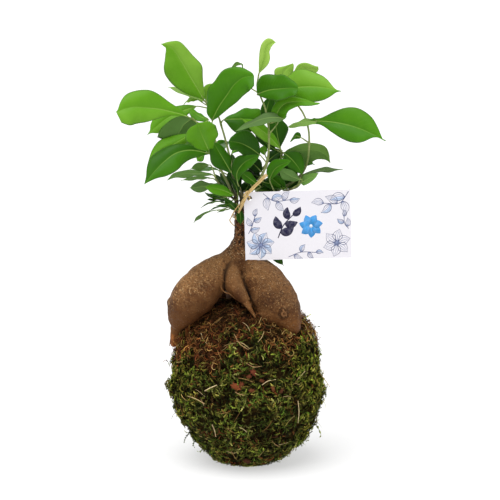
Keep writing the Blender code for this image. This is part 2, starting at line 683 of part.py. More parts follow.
def build_blade(name, shape, collection):
    """Build one thin blade: a curved surface three points wide, thickened."""
    length = float(np.linalg.norm(seen(*shape["tip"]) - seen(*shape["base"])))
    rows = SMALL_BLADE_ROWS if length < SMALL_BLADE else BLADE_ROWS
    grid = blade_grid(shape, rows)
    points = [tuple(point) for row in grid for point in row]
    faces = []
    for row in range(rows - 1):
        for side in (0, 1):
            first = 3 * row + side
            faces.append((first, first + 1, first + 4, first + 3))
    mesh = bpy.data.meshes.new(name)
    mesh.from_pydata(points, [], faces)
    cut = bmesh.new()
    cut.from_mesh(mesh)
    bmesh.ops.triangulate(cut, faces=cut.faces)
    cut.to_mesh(mesh)
    cut.free()
    obj = add_object(name, mesh, collection)
    solidify = obj.modifiers.new("Thickness", "SOLIDIFY")
    solidify.thickness = BLADE_THICKNESS
    solidify.offset = 0.0
    return bake(obj)


def nearest_on(lines, place):
    """Return the point of several polylines that lies nearest to a place."""
    best = None
    for line in lines:
        for start, stop in zip(line[:-1], line[1:]):
            run = stop - start
            share = np.clip((place - start) @ run / (run @ run), 0.0, 1.0)
            point = start + share * run
            reach = np.linalg.norm(point - place)
            if best is None or reach < best[0]:
                best = (reach, point)
    return best[1]


def petiole_points(shape, lines):
    """Return points along a petiole, from the core of its twig to inside its blade."""
    base, mid = (seen(*shape[key]) for key in ("base", "mid"))
    seat = nearest_on(lines, seen(*shape["seat"]))
    inward = (mid - base) / np.linalg.norm(mid - base)
    return [seat, base, base + inward * PETIOLE_SUNK]


def build_spray(name, spray, top_height, collection):
    """Build one leafy stem with its twigs, petioles and blades fused into one body."""
    foot_x, foot_y = spray["foot"]
    trunk_top = seen(*TRUNK_SPINE[0][:3])
    foot = np.array([trunk_top[0] + foot_x * MM, trunk_top[1] + foot_y * MM, top_height + GAP])
    rise = foot + np.array([0, 0, TWIG_RISE])
    pieces = []
    lines = []
    for number, (places, thick, thin) in enumerate(spray["twigs"]):
        points = [seen(*place) for place in places]
        if number == 0:
            points = [foot, rise] + points
        else:
            points[0] = nearest_on(lines, points[0])
        lines.append(points)
        radii = np.linspace(thick, thin, len(points)) * MM
        pieces.append(tube(f"{name}_twig{number}", list(zip(points, radii)), collection, sides=1))
    for key, shape in spray["leaves"].items():
        pieces.append(build_blade(f"{name}_{key}", shape, collection))
        stalk = [(point, PETIOLE_RADIUS) for point in petiole_points(shape, lines)]
        pieces.append(tube(f"{name}_{key}_petiole", stalk, collection, sides=0))
    return fuse(pieces, name, collection)


def build_card(collection):
    """Build the punched card as a flat outline with an extrude."""
    curve = bpy.data.curves.new("card", "CURVE")
    curve.dimensions = "2D"
    curve.fill_mode = "BOTH"
    curve.extrude = CARD_THICKNESS / 2
    width, height = CARD_SIZE
    outline = curve.splines.new("POLY")
    outline.points.add(3)
    corners = ((-1, -1), (1, -1), (1, 1), (-1, 1))
    for point, (across, up) in zip(outline.points, corners):
        point.co = (across * width / 2, up * height / 2, 0, 1)
    outline.use_cyclic_u = True
    middle = seen(*CARD_MIDDLE)
    away = seen(*HOLE_PLACE) - middle
    offset = Matrix.Rotation(-CARD_TURN, 2) @ Vector((away[0], away[2]))
    hole = curve.splines.new("POLY")
    hole.points.add(HOLE_SIDES - 1)
    for k, point in enumerate(hole.points):
        turn = 2 * math.pi * k / HOLE_SIDES
        point.co = (offset.x + HOLE_RADIUS * math.cos(turn), offset.y + HOLE_RADIUS * math.sin(turn), 0, 1)
    hole.use_cyclic_u = True
    card = add_object("card", curve, collection)
    card.matrix_world = (Matrix.Translation(Vector(middle)) @ Matrix.Rotation(-CARD_TURN, 4, "Y")
                         @ Matrix.Rotation(math.pi / 2, 4, "X"))
    bpy.context.view_layer.update()
    return bake(card)


def build_tie(collection):
    """Build the raffia: a ring round the trunk, a loop through the card's hole and a loose tail."""
    middle = seen(*TIE_RING)
    ring = []
    for k in range(TIE_RING_SIDES):
        turn = 2 * math.pi * k / TIE_RING_SIDES
        flat = Vector((math.cos(turn), math.sin(turn), 0)) * TIE_RING_RADIUS
        lean = flat.x * math.tan(TIE_RING_LEAN)
        ring.append((middle + np.array([flat.x, flat.y, lean]), TIE_RING_WIRE))
    pieces = [tube("ring", ring, collection, sides=1, cyclic=True)]
    for number, spine in enumerate(TIE_SPINES):
        pieces.append(tube(f"strand{number}", spine_stations(spine, 2 * len(spine)), collection, sides=0))
    return fuse(pieces, "raffia_tie", collection)


def main():
    """Build the whole plant."""
    clear_scene()
    parts = new_collection("kokedama_moss_ball_plant")
    cutters = new_collection("cutters")
    materials = {name: make_material(name) for name in MATERIALS}

    caudex = build_caudex(parts)
    root_cutter = grown(caudex, "root_room", MOSS_CLEARANCE, cutters)
    plug_cutter = tube("plug_room", plug_stations(PLUG_ROOM, PLUG_END_ROOM), cutters, sides=6)
    plug_cutter.hide_render = True
    plug_cutter.display_type = "WIRE"
    soil, wrap, top = build_ball(parts, root_cutter, plug_cutter)

    finish(caudex, "caudex", materials["bark"])
    finish(soil, "soil_ball", materials["soil"])
    finish(wrap, "moss_wrap", materials["green_moss"])
    finish(top, "dry_moss_cap", materials["dry_moss"])

    top_height = max(vertex.co.z for vertex in caudex.data.vertices)
    for name, spray in SPRAYS.items():
        finish(build_spray(name, spray, top_height, parts), name, materials["leaf_green"])
    finish(build_card(parts), "card", materials["card_paper"])
    finish(build_tie(parts), "raffia_tie", materials["raffia"])


main()
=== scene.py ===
# %% [markdown]
# # A kokedama moss ball plant, step by step
# A small fig tree with swollen roots sits astride a moss ball, and a paper card hangs from a raffia tie. The
# solid frame comes first, because it fixes every size and place.

# %% Load the solid frame
import math

import bpy
import numpy as np
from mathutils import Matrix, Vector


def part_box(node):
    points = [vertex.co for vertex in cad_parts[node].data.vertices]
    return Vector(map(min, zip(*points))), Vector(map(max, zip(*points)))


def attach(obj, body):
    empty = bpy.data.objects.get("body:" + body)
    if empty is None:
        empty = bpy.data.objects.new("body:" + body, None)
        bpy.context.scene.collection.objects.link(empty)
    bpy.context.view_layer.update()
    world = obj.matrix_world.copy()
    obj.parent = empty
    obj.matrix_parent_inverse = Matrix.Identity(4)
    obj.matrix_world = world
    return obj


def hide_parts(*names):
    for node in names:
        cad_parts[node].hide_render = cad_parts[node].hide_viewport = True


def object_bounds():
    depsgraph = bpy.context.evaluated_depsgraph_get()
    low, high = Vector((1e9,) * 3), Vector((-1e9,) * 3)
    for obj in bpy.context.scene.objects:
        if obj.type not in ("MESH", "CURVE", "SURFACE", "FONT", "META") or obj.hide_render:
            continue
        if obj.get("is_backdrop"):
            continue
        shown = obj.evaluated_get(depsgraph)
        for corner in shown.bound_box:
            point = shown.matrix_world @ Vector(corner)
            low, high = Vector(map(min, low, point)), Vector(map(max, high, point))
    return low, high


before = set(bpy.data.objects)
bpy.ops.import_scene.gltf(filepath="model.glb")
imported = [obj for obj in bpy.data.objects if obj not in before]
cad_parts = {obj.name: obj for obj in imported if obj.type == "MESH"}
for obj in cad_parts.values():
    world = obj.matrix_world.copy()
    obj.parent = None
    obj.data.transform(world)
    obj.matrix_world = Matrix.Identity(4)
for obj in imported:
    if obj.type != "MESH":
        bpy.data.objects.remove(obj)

cad_low, cad_high = (list(corner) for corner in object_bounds())
print("solid frame:", sorted(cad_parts))
print("box in mm:", [round((high - low) * 1000, 1) for low, high in zip(cad_low, cad_high)])

# %% [markdown]
# ## The drawing grid and the camera
# Places are (column, row, depth) on a front drawing: columns run right, rows run down in steps of 0.81 mm,
# and depths are millimetres away from the eye. The camera stands where that drawing was seen from.

# %% Drawing places and the camera
MM = 0.001
STEP = 0.81 * MM
MIDDLE = 250.0
VIEW_DISTANCE = 1400 * MM
VIEW_TILT = math.radians(9)
AIM = np.array([3.2, 0.0, 175.0]) * MM
FORWARD = np.array([0.0, math.cos(VIEW_TILT), -math.sin(VIEW_TILT)])
UPWARD = np.array([0.0, math.sin(VIEW_TILT), math.cos(VIEW_TILT)])
SIDEWAYS = np.array([1.0, 0.0, 0.0])
DEPTH = np.array([0.0, 1.0, 0.0])
EYE = AIM - FORWARD * VIEW_DISTANCE
FRAME_STEPS = 500


def seen(places):
    """Points for drawing places: the ray through (column, row), followed to its depth."""
    places = np.asarray(places, float)
    column, row, depth = places[..., 0:1], places[..., 1:2], places[..., 2:3]
    ray = FORWARD * VIEW_DISTANCE + SIDEWAYS * (column - MIDDLE) * STEP + UPWARD * (MIDDLE - row) * STEP
    return EYE + ray * ((depth * MM - EYE[1]) / ray[..., 1:2])


def add_camera():
    """A camera at the eye, with the lens that shows the whole drawing."""
    lens = bpy.data.cameras.new("camera")
    lens.sensor_width = 36.0
    lens.lens = lens.sensor_width * VIEW_DISTANCE / (FRAME_STEPS * STEP)
    camera = bpy.data.objects.new("camera", lens)
    camera.location = EYE
    camera.rotation_euler = (math.pi / 2 - VIEW_TILT, 0, 0)
    bpy.context.scene.collection.objects.link(camera)
    bpy.context.scene.camera = camera
    return camera


camera = add_camera()
print("camera lens in mm:", round(camera.data.lens, 1))

# %% [markdown]
# ## Floor and light
# A white floor glows a little, as a light table does, so that shadows on it stay faint. Two very wide suns
# light the plant softly: a high one a little to the left and a weak one from the viewer's side.

# %% Floor, sky and suns
FLOOR_REACH = 40.0
SKY = (1.0, 1.0, 1.0, 1.0)
SKY_STRENGTH = 0.6
FLOOR_WHITE = 0.46
FLOOR_GLOW = 0.5
SUNS = {
    "high_sun": {"from": (-0.17, -0.3, 1.0), "spread": 50, "strength": 2.6},
    "front_sun": {"from": (0.3, -1.0, 0.4), "spread": 60, "strength": 0.35},
}


def turned_from(direction):
    """Euler angles that point -Z away from where the light comes."""
    x, y, z = direction
    return (math.atan2(math.hypot(x, y), z), 0.0, math.atan2(y, x) + math.pi / 2)


def add_floor():
    """A plain white floor at height zero that glows a little."""
    mesh = bpy.data.meshes.new("floor")
    corners = [(x * FLOOR_REACH, y * FLOOR_REACH, 0) for x, y in ((-1, -1), (1, -1), (1, 1), (-1, 1))]
    mesh.from_pydata(corners, [], [(0, 1, 2, 3)])
    floor = bpy.data.objects.new("floor", mesh)
    bpy.context.scene.collection.objects.link(floor)
    material = bpy.data.materials.new("white_sweep")
    material.use_nodes = True
    sockets = material.node_tree.nodes["Principled BSDF"].inputs
    sockets["Base Color"].default_value = (FLOOR_WHITE, FLOOR_WHITE, FLOOR_WHITE, 1.0)
    sockets["Roughness"].default_value = 0.9
    sockets["Emission Color"].default_value = SKY
    sockets["Emission Strength"].default_value = FLOOR_GLOW
    mesh.materials.append(material)
    floor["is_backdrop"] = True


def add_light():
    """White sky and two wide suns."""
    scene = bpy.context.scene
    scene.world = scene.world or bpy.data.worlds.new("sky")
    scene.world.use_nodes = True
    sky = scene.world.node_tree.nodes["Background"]
    sky.inputs["Color"].default_value = SKY
    sky.inputs["Strength"].default_value = SKY_STRENGTH
    for name, sun in SUNS.items():
        light = bpy.data.lights.new(name, "SUN")
        light.angle = math.radians(sun["spread"])
        light.energy = sun["strength"]
        holder = bpy.data.objects.new(name, light)
        holder.rotation_euler = turned_from(sun["from"])
        scene.collection.objects.link(holder)
    scene.view_settings.view_transform = "Standard"


add_floor()
add_light()
print("suns:", list(SUNS))

# %% [markdown]
# ## Helpers: from arrays to pieces
# Every surface ends as points, faces and a few numbers for each point, such as a leaf's tone, which also
# carries painted shade. They travel with the mesh, so a material can read them by name.

# %% Meshes from arrays
def make_mesh(name, points, faces, uv=None, values=None):
    """A mesh from points (N, 3) and arrays of faces, each array with its own number of corners.

    uv holds one (u, v) for each point, and values one number or one colour for each point, by name.
    """
    mesh = bpy.data.meshes.new(name)
    corners = np.concatenate([array.ravel() for array in faces]).astype(np.int32)
    sizes = np.concatenate([np.full(len(array), array.shape[1]) for array in faces])
    starts = np.concatenate([[0], np.cumsum(sizes)[:-1]]).astype(np.int32)
    mesh.vertices.add(len(points))
    mesh.vertices.foreach_set("co", np.asarray(points, np.float32).ravel())
    mesh.loops.add(len(corners))
    mesh.loops.foreach_set("vertex_index", corners)
    mesh.polygons.add(len(sizes))
    mesh.polygons.foreach_set("loop_start", starts)
    mesh.update(calc_edges=True)
    if uv is not None:
        layer = mesh.uv_layers.new(name="surface")
        layer.data.foreach_set("uv", np.asarray(uv, np.float32)[corners].ravel())
    for key, numbers in (values or {}).items():
        numbers = np.asarray(numbers, np.float32)
        if numbers.ndim == 2:
            layer = mesh.attributes.new(key, "FLOAT_COLOR", "POINT")
            colours = np.concatenate([numbers, np.ones((len(numbers), 1), np.float32)], axis=1)
            layer.data.foreach_set("color", colours.ravel())
        else:
            mesh.attributes.new(key, "FLOAT", "POINT").data.foreach_set("value", numbers)
    mesh.validate()
    mesh.shade_smooth()
    return mesh


def add_piece(mesh, material, replaces=()):
    """Put a mesh on the body, with a material slot; it may stand for solids."""
    piece = bpy.data.objects.new(mesh.name, mesh)
    bpy.context.scene.collection.objects.link(piece)
    mesh.materials.append(material)
    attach(piece, "root")
    if replaces:
        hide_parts(*replaces)
    print(f"{mesh.name}: {sum(len(face.vertices) - 2 for face in mesh.polygons)} triangles")


def dress_solid(node, material):
    """Give a solid that keeps its own mesh a material."""
    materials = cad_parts[node].data.materials
    materials.clear()
    materials.append(material)


def unit(vectors):
    """Vectors divided by their lengths."""
    return vectors / np.maximum(np.linalg.norm(vectors, axis=-1, keepdims=True), 1e-12)


def blend(low, high, share):
    """low + (high - low) * share, with the share eased: 3 s^2 - 2 s^3."""
    share = np.clip(share, 0, 1)
    share = share * share * (3 - 2 * share)
    return low + (high - low) * share


def bell(place):
    """A bump round zero: exp(-place^2)."""
    return np.exp(-place ** 2)


def travelled(path):
    """How far along a path each of its points lies, from 0."""
    return np.concatenate([[0.0], np.cumsum(np.linalg.norm(np.diff(path, axis=0), axis=1))])


def along_share(path):
    """The same as shares of the path's length, from 0 to 1."""
    lengths = travelled(path)
    return lengths / lengths[-1]


def grid_uv(across, along, size):
    """One (u, v) for each point of a grid."""
    return np.stack([np.broadcast_to(across, size), np.broadcast_to(along, size)], axis=-1).reshape(-1, 2)


def waves(points, size, seed, count=14):
    """Smooth noise from -1 to 1 with swellings of a size: a sum of sine waves in random directions."""
    draw = np.random.default_rng(seed)
    directions = unit(draw.normal(size=(count, 3)))
    directions *= 2 * math.pi / (size * draw.uniform(0.8, 2.2, (count, 1)))
    total = np.sin(points @ directions.T + draw.uniform(0, 2 * math.pi, count)).sum(axis=-1)
    return total * math.sqrt(2 / count) / 1.6


# %% Tubes along many paths at once
def tube_points(paths, radii, sides, flat=1.0, up=None):
    """Rings round paths (K, n, 3): centre + radius * (cos a * side + flat * sin a * rise).

    side is square to the path and to up, and rise is square to both. radii is (K, n).
    """
    run = unit(np.gradient(paths, axis=1))
    if up is None:
        mean = unit(run.mean(axis=1, keepdims=True))
        up = np.where(np.abs(mean[..., 2:3]) < 0.85, np.array([0.0, 0.0, 1.0]), np.array([1.0, 0.0, 0.0]))
    side = unit(np.cross(run, np.broadcast_to(up, run.shape)))
    rise = np.cross(side, run)
    angles = np.arange(sides) * 2 * math.pi / sides
    ring = np.cos(angles)[:, None] * side[:, :, None] + flat * np.sin(angles)[:, None] * rise[:, :, None]
    return paths[:, :, None] + radii[:, :, None, None] * ring


def tube_faces(count, stations, sides):
    """Quads between neighbouring rings, and one face over each end."""
    index = np.arange(count * stations * sides).reshape(count, stations, sides)
    turned = np.roll(index, -1, axis=2)
    quads = np.stack([index[:, :-1], index[:, 1:], turned[:, 1:], turned[:, :-1]], axis=-1).reshape(-1, 4)
    caps = np.concatenate([index[:, 0], index[:, -1, ::-1]])
    return [quads, caps]


def tube_mesh(name, rings, values):
    """A mesh of closed tubes from their rings (K, n, sides, 3)."""
    return make_mesh(name, rings.reshape(-1, 3), tube_faces(*rings.shape[:3]), values=values)


def curve(places, points, wanted):
    """Values of a smooth curve that has the points (n, d) at the places (n,), read at the wanted places.

    Between two points it is a cubic whose end slopes come from the neighbours.
    """
    slopes = np.gradient(points, places, axis=0)
    k = np.clip(np.searchsorted(places, wanted, side="right") - 1, 0, len(points) - 2)
    span = (places[k + 1] - places[k])[:, None]
    t = (wanted - places[k])[:, None] / span
    return ((2 * t ** 3 - 3 * t ** 2 + 1) * points[k] + (t ** 3 - 2 * t ** 2 + t) * span * slopes[k]
            + (3 * t ** 2 - 2 * t ** 3) * points[k + 1] + (t ** 3 - t ** 2) * span * slopes[k + 1])


def smooth_path(points, count, radii=None):
    """A smooth curve through points, read at even distances, with the radii carried along it."""
    points = np.asarray(points, float)
    places = travelled(points)
    wanted = np.linspace(0, places[-1], count)
    path = curve(places, points, wanted)
    return path if radii is None else (path, np.interp(wanted, places, radii))


print("helpers ready")

# %% [markdown]
# ## Helpers: materials from nodes
# A surface is never one flat colour. Each material is a Principled shader whose colour, roughness and bump
# come from noise and from the numbers on the points.

# %% Short ways to wire nodes
class Wires:
    """A material's nodes, added one call at a time."""

    def __init__(self, name):
        self.material = bpy.data.materials.new(name)
        self.material.use_nodes = True
        self.tree = self.material.node_tree
        self.shader = self.tree.nodes["Principled BSDF"]
        self.place = self.tree.nodes.new("ShaderNodeTexCoord").outputs["Object"]

    def feed(self, socket, value):
        """Link a socket to another node's output, or set it to a number or a screen colour."""
        if isinstance(value, bpy.types.NodeSocket):
            self.tree.links.new(value, socket)
        else:
            socket.default_value = (*rgb(*value), 1.0) if socket.type == "RGBA" else value

    def add(self, kind, sockets, **settings):
        """A new node, with its settings made and its sockets fed."""
        node = self.tree.nodes.new("ShaderNode" + kind)
        for name, value in settings.items():
            setattr(node, name, value)
        for socket, value in sockets.items():
            self.feed(node.inputs[socket], value)
        return node

    def stored(self, name, output="Fac"):
        """A number stored on the mesh's points, or a colour from the output Color."""
        return self.add("Attribute", {}, attribute_name=name).outputs[output]

    def noise(self, scale, detail=3.0, roughness=0.55, stretch=None, where=None):
        """Noise from 0 to 1 on the object's own coordinates, stretched if asked."""
        where = where or self.place
        if stretch:
            where = self.add("Mapping", {"Vector": where, "Scale": stretch}).outputs["Vector"]
        sockets = {"Vector": where, "Scale": scale, "Detail": detail, "Roughness": roughness}
        return self.add("TexNoise", sockets).outputs["Fac"]

    def cells(self, scale):
        """Distance to the nearest of many scattered spots."""
        return self.add("TexVoronoi", {"Vector": self.place, "Scale": scale}).outputs["Distance"]

    def maths(self, operation, *numbers):
        """One sum on one, two or three numbers."""
        return self.add("Math", dict(enumerate(numbers)), operation=operation).outputs[0]

    def times(self, first, *others):
        """The product of numbers."""
        for other in others:
            first = self.maths("MULTIPLY", first, other)
        return first

    def fit(self, value, low, high, first=0.0, last=1.0):
        """Map a number from low..high to first..last, eased at both ends."""
        sockets = {"Value": value, "From Min": low, "From Max": high, "To Min": first, "To Max": last}
        return self.add("MapRange", sockets, interpolation_type="SMOOTHSTEP").outputs["Result"]

    def ramp(self, value, *stops):
        """Colour bands: stops are (place, screen colour)."""
        node = self.add("ValToRGB", {"Fac": value})
        bands = node.color_ramp.elements
        while len(bands) < len(stops):
            bands.new(0.5)
        for band, (place, colour) in zip(bands, stops):
            band.position = place
            band.color = (*rgb(*colour), 1.0)
        return node.outputs["Color"]

    def mix(self, share, first, second):
        """Blend two colours."""
        return self.add("Mix", {0: share, 6: first, 7: second}, data_type="RGBA").outputs[2]

    def coats(self, colour, *coats):
        """Lay coats over a colour, in order: each is its share and its colour."""
        for share, coat in coats:
            colour = self.mix(share, colour, coat)
        return colour

    def bump(self, height, strength, distance):
        """Tilt the shading as if the height stood out by a distance in metres."""
        sockets = {"Strength": strength, "Distance": distance, "Height": height}
        self.feed(self.shader.inputs["Normal"], self.add("Bump", sockets).outputs["Normal"])

    def set(self, **sockets):
        """Feed the Principled shader's sockets, named with underscores for spaces."""
        for name, value in sockets.items():
            self.feed(self.shader.inputs[name.replace("_", " ")], value)
        return self.material


def rgb(red, green, blue):
    """A colour read off a screen (0 to 255) as the shader needs it: undo the screen's curve."""
    shares = np.array([red, green, blue]) / 255
    linear = np.where(shares <= 0.04045, shares / 12.92, ((shares + 0.055) / 1.055) ** 2.4)
    return tuple(linear.tolist())


print("a mid green for the shader:", [round(share, 3) for share in rgb(88, 134, 35)])

# %% [markdown]
# ## The swollen roots
# Roots and trunk are round limbs that melt into each other. Each limb is a row of balls, near limbs melt by
# a soft minimum, and the skin is where the distance is zero. The solid's own mesh is cut finer and pulled on
# to that skin, so it stays in place.

# %% Limbs as rows of balls
ROOT_SPINES = {
    "left": ((236, 256, -2, 7.5), (226.5, 265, -6, 10.5), (215.5, 273.5, -11, 13.2), (205.5, 283, -16, 16.6),
             (195.5, 294, -19, 17.4), (186, 306, -20, 14.2), (180.5, 316, -18, 9.8), (177.5, 325, -15, 5.2),
             (174.4, 334, -12, 3.3), (173.3, 344, -9, 2.4)),
    "right": ((248, 263, -3, 10.5), (255, 271, -8, 13), (263, 281.5, -14, 16.6), (272, 296, -19, 18.4),
              (280.5, 310, -24, 16.2), (287.5, 320, -27, 11.4), (292.5, 326, -28, 6.6)),
    "middle": ((236.4, 258, -3, 6.6), (232.8, 267.5, -10, 7.4), (231.8, 276, -16, 8.1),
               (233.6, 283.5, -20, 8.2), (237.6, 290.5, -24, 7.2), (242.4, 297, -27, 5.4),
               (246.8, 303.5, -30, 3.5), (250.8, 310.5, -32, 2.2), (254.8, 317.5, -33, 1.3)),
    "back": ((246, 262, 6, 12), (254, 278, 20, 14), (262, 295, 33, 12.5), (268, 310, 44, 9),
             (272, 323, 51, 4.5)),
    "back_left": ((238, 264, 8, 10), (228, 280, 20, 10.5), (219, 295, 32, 9), (212, 308, 41, 5),
                  (208, 318, 46, 2.5)),
    "trunk": ((241, 206, 0, 5.4), (241, 220, 0, 5.4), (241.5, 232, -0.5, 6), (242, 241, -1, 7.4),
              (242, 249, -1, 9.6), (242, 258, -2, 13.5)),
}
PLUG = np.array(((-3, 7, 152, 14), (-3, 7, 132, 12.5), (-3, 7, 96, 8))) * MM
KNOBS = ((170.6, 301.5, -19, 2.6), (221, 262, -14, 4.5), (270.5, 311, -24, 13.2))
SCAR = (283.6, 313.4)
WORN = (184, 287)
ROOTLET = (173.5, 340, -10)
LIMB_BALLS = 90
PLUG_BALLS = 40


def spine_balls(spine):
    """Middles and radii of the balls along one limb."""
    places = np.asarray(spine, float)
    return smooth_path(seen(places), LIMB_BALLS, places[:, 3] * MM)


LIMBS = {name: spine_balls(spine) for name, spine in ROOT_SPINES.items()}
LIMBS["plug"] = smooth_path(PLUG[:, :3], PLUG_BALLS, PLUG[:, 3])
print("limbs:", {name: len(radii) for name, (_, radii) in LIMBS.items()})


# %% The distance formula
def limb_distance(points, limb):
    """Distance to one limb: the least |point - middle| - radius of its balls, and that ball's number."""
    middles, radii = LIMBS[limb]
    squares = (points ** 2).sum(1)[:, None] + (middles ** 2).sum(1)[None] - 2 * points @ middles.T
    reach = np.sqrt(np.maximum(squares, 0)) - radii
    nearest = reach.argmin(axis=1)
    return reach[np.arange(len(points)), nearest], nearest


def melt(first, second, room):
    """Soft minimum: where two distances differ by less than the room, a little more is filled."""
    share = np.clip(0.5 + 0.5 * (second - first) / room, 0, 1)
    return second * (1 - share) + first * share - room * share * (1 - share)


def root_distance(points):
    """Distance to the whole body: limbs melt widely, and the middle root keeps its creases lower down."""
    body = limb_distance(points, "trunk")[0]
    for limb, room in (("left", 6), ("right", 6), ("back", 8), ("back_left", 8), ("plug", 6)):
        body = melt(body, limb_distance(points, limb)[0], room * MM)
    for column, row, depth, radius in KNOBS:
        knob = np.linalg.norm(points - seen((column, row, depth)), axis=1) - radius * MM
        body = melt(body, knob, 3 * MM)
    crease_room = blend(0.7, 6.0, (points[:, 2] - 158 * MM) / (14 * MM)) * MM
    return melt(body, limb_distance(points, "middle")[0], crease_room)


def pull_on(points, rounds):
    """Move points on to the skin: each round steps back along the slope by the distance."""
    reach = 0.25 * MM
    for _ in range(rounds):
        here = root_distance(points)
        slope = np.stack([root_distance(points + reach * axis) - here for axis in np.eye(3)], axis=1) / reach
        steepness = np.maximum((slope ** 2).sum(1), 0.3)
        points = points - slope * (here / steepness)[:, None] * 0.9
    return points


# %% Cut the solid's mesh finer
def merged_triangles(node):
    """Points and triangles of a solid's mesh, with points that coincide made one."""
    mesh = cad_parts[node].data
    mesh.calc_loop_triangles()
    points = np.empty(len(mesh.vertices) * 3)
    mesh.vertices.foreach_get("co", points)
    triangles = np.empty(len(mesh.loop_triangles) * 3, np.int32)
    mesh.loop_triangles.foreach_get("vertices", triangles)
    points, same = np.unique(points.reshape(-1, 3).round(7), axis=0, return_inverse=True)
    return points, same.ravel()[triangles].reshape(-1, 3)


def split_triangles(points, triangles):
    """Cut each triangle into four at the middles of its sides."""
    sides = np.sort(triangles[:, [[0, 1], [1, 2], [2, 0]]], axis=2).reshape(-1, 2)
    sides, which = np.unique(sides, axis=0, return_inverse=True)
    a, b, c = triangles.T
    ab, bc, ca = (which.reshape(-1, 3) + len(points)).T
    triangles = np.concatenate([np.stack(corner, axis=1)
                                for corner in ((a, ab, ca), (ab, b, bc), (ca, bc, c), (ab, bc, ca))])
    return np.concatenate([points, points[sides].mean(axis=1)]), triangles


def point_normals(points, triangles):
    """Outward direction at each point: the sum of its triangles' normals, made unit."""
    corners = points[triangles]
    normals = np.cross(corners[:, 1] - corners[:, 0], corners[:, 2] - corners[:, 0])
    total = np.zeros_like(points)
    for corner in range(3):
        np.add.at(total, triangles[:, corner], normals)
    return unit(total)


root_points, root_triangles = merged_triangles("caudex")
for rounds in (3, 2, 2):
    root_points, root_triangles = split_triangles(root_points, root_triangles)
    root_points = pull_on(root_points, rounds)
print("root skin:", len(root_points), "points")

# %% [markdown]
# ## Bark
# Low swellings and wrinkles are moved in the mesh, and finer ones are bump. Creases, undersides and a few
# more places get painted shade, upper faces a painted highlight, and the trunk is rough, so these shares are
# stored on the points.

# %% Wrinkles and shares on the points
def along_limb(points):
    """How far along its nearest limb a point lies, in metres."""
    best, along = np.full(len(points), 9.0), np.zeros(len(points))
    for limb, (middles, _) in LIMBS.items():
        reach, nearest = limb_distance(points, limb)
        closer = reach < best
        along[closer] = travelled(middles)[nearest[closer]]
        best[closer] = reach[closer]
    return along


def crease_depth(points):
    """1 deep in creases and 0 on open skin: two limbs are both within 2 mm there. The bark paints shade by
    it.
    """
    reaches = [limb_distance(points, limb)[0] for limb in ("left", "right", "middle")]
    room = (1.6 + 1.4 * blend(1, 0, (points[:, 0] + 10 * MM) / (4 * MM))) * MM
    return blend(1, 0, (np.sort(reaches, axis=0)[1] - 0.1 * MM) / room) * (points[:, 1] < 0)


def calm_skin(points, normals):
    """1 where the skin is smooth: on the slim middle root, and on the left root's lower side."""
    slim = limb_distance(points, "middle")[0]
    left, right = (limb_distance(points, limb)[0] for limb in ("left", "right"))
    middle = blend(0, 1, (np.minimum(left, right) - slim) / (1.5 * MM) + 0.5) * (points[:, 2] < 168 * MM)
    lower = blend(1, 0, normals[:, 2] / 0.4 + 0.2) * blend(1, 0, (points[:, 0] + 14 * MM) / (10 * MM))
    return np.maximum(middle, 0.8 * lower)


def front_point(points, column, row):
    """The foremost of many points within 1 mm of the ray through a drawing place."""
    start = seen((column, row, -60.0))
    ray = unit(start - EYE)
    reach = points - start
    aside = np.linalg.norm(reach - (reach @ ray)[:, None] * ray, axis=1)
    return points[np.where(aside < 1.0 * MM, points[:, 1], 9).argmin()]


SCAR_POINT = front_point(root_points, *SCAR)
WORN_POINT = front_point(root_points, *WORN)
SWELLINGS = ((26, 5, 0.45), (8, 6, 0.3), (4, 7, 0.12))


def make_roots():
    """The finished roots: skin moved by swellings, wrinkles and a scar, with the shares that the bark reads.

    The scar is where a thin root broke off: a ragged ring 2 mm from its middle.
    """
    points, normals = root_points, point_normals(root_points, root_triangles)
    along = along_limb(points)
    swelling = sum(waves(points, size * MM, seed) * high for size, seed, high in SWELLINGS)
    worn = bell(np.linalg.norm(points - WORN_POINT, axis=1) / (17 * MM))
    patches = np.clip(worn + 0.3 * blend(0, 1, waves(points, 16 * MM, 8) - 0.2), 0, 1)
    wrinkles = np.sin(2 * math.pi * along / (2.6 * MM) + 3.2 * waves(points, 7 * MM, 9)) * patches * 0.05
    rough = blend(0, 1, (points[:, 2] - 168 * MM) / (20 * MM)) * waves(points, 2.6 * MM, 10) * 0.3
    reach = np.linalg.norm(points - SCAR_POINT, axis=1) / MM + 1.1 * waves(points, 2.4 * MM, 12)
    scar = 0.7 * bell((reach - 1.7) / 0.9) - 0.35 * bell((reach - 3.4) / 0.9)
    points = points + normals * ((swelling + wrinkles + rough + scar) * MM)[:, None]
    x, z = points[:, 0] / MM, points[:, 2] / MM
    values = {
        # painted shade, deepest in the creases between the bulbs and the middle root
        "crease_shade": crease_depth(root_points),
        "rough": blend(0, 1, (z - 166) / 22),
        "along": along * 1000,
        "up": normals[:, 2],
        "wrinkled": patches,
        "calm": calm_skin(root_points, normals),
        "warm": blend(1, 0, (z - 112) / 26),
        "shade": (0.14 + 0.1 * blend(0, 1, -x / 20)) * bell((z - 123) / 16) + 0.34 * bell((z - 174) / 10)
        + 0.3 * bell((x - 4) / 9) * bell((z - 130) / 11) + 0.2 * blend(0, 1, x / 16) + 0.03,
        "ruddy": blend(1, 0, (np.linalg.norm(points - seen(ROOTLET), axis=1) / MM - 5) / 5),
    }
    return make_mesh("swollen_roots", points, [root_triangles], values=values)


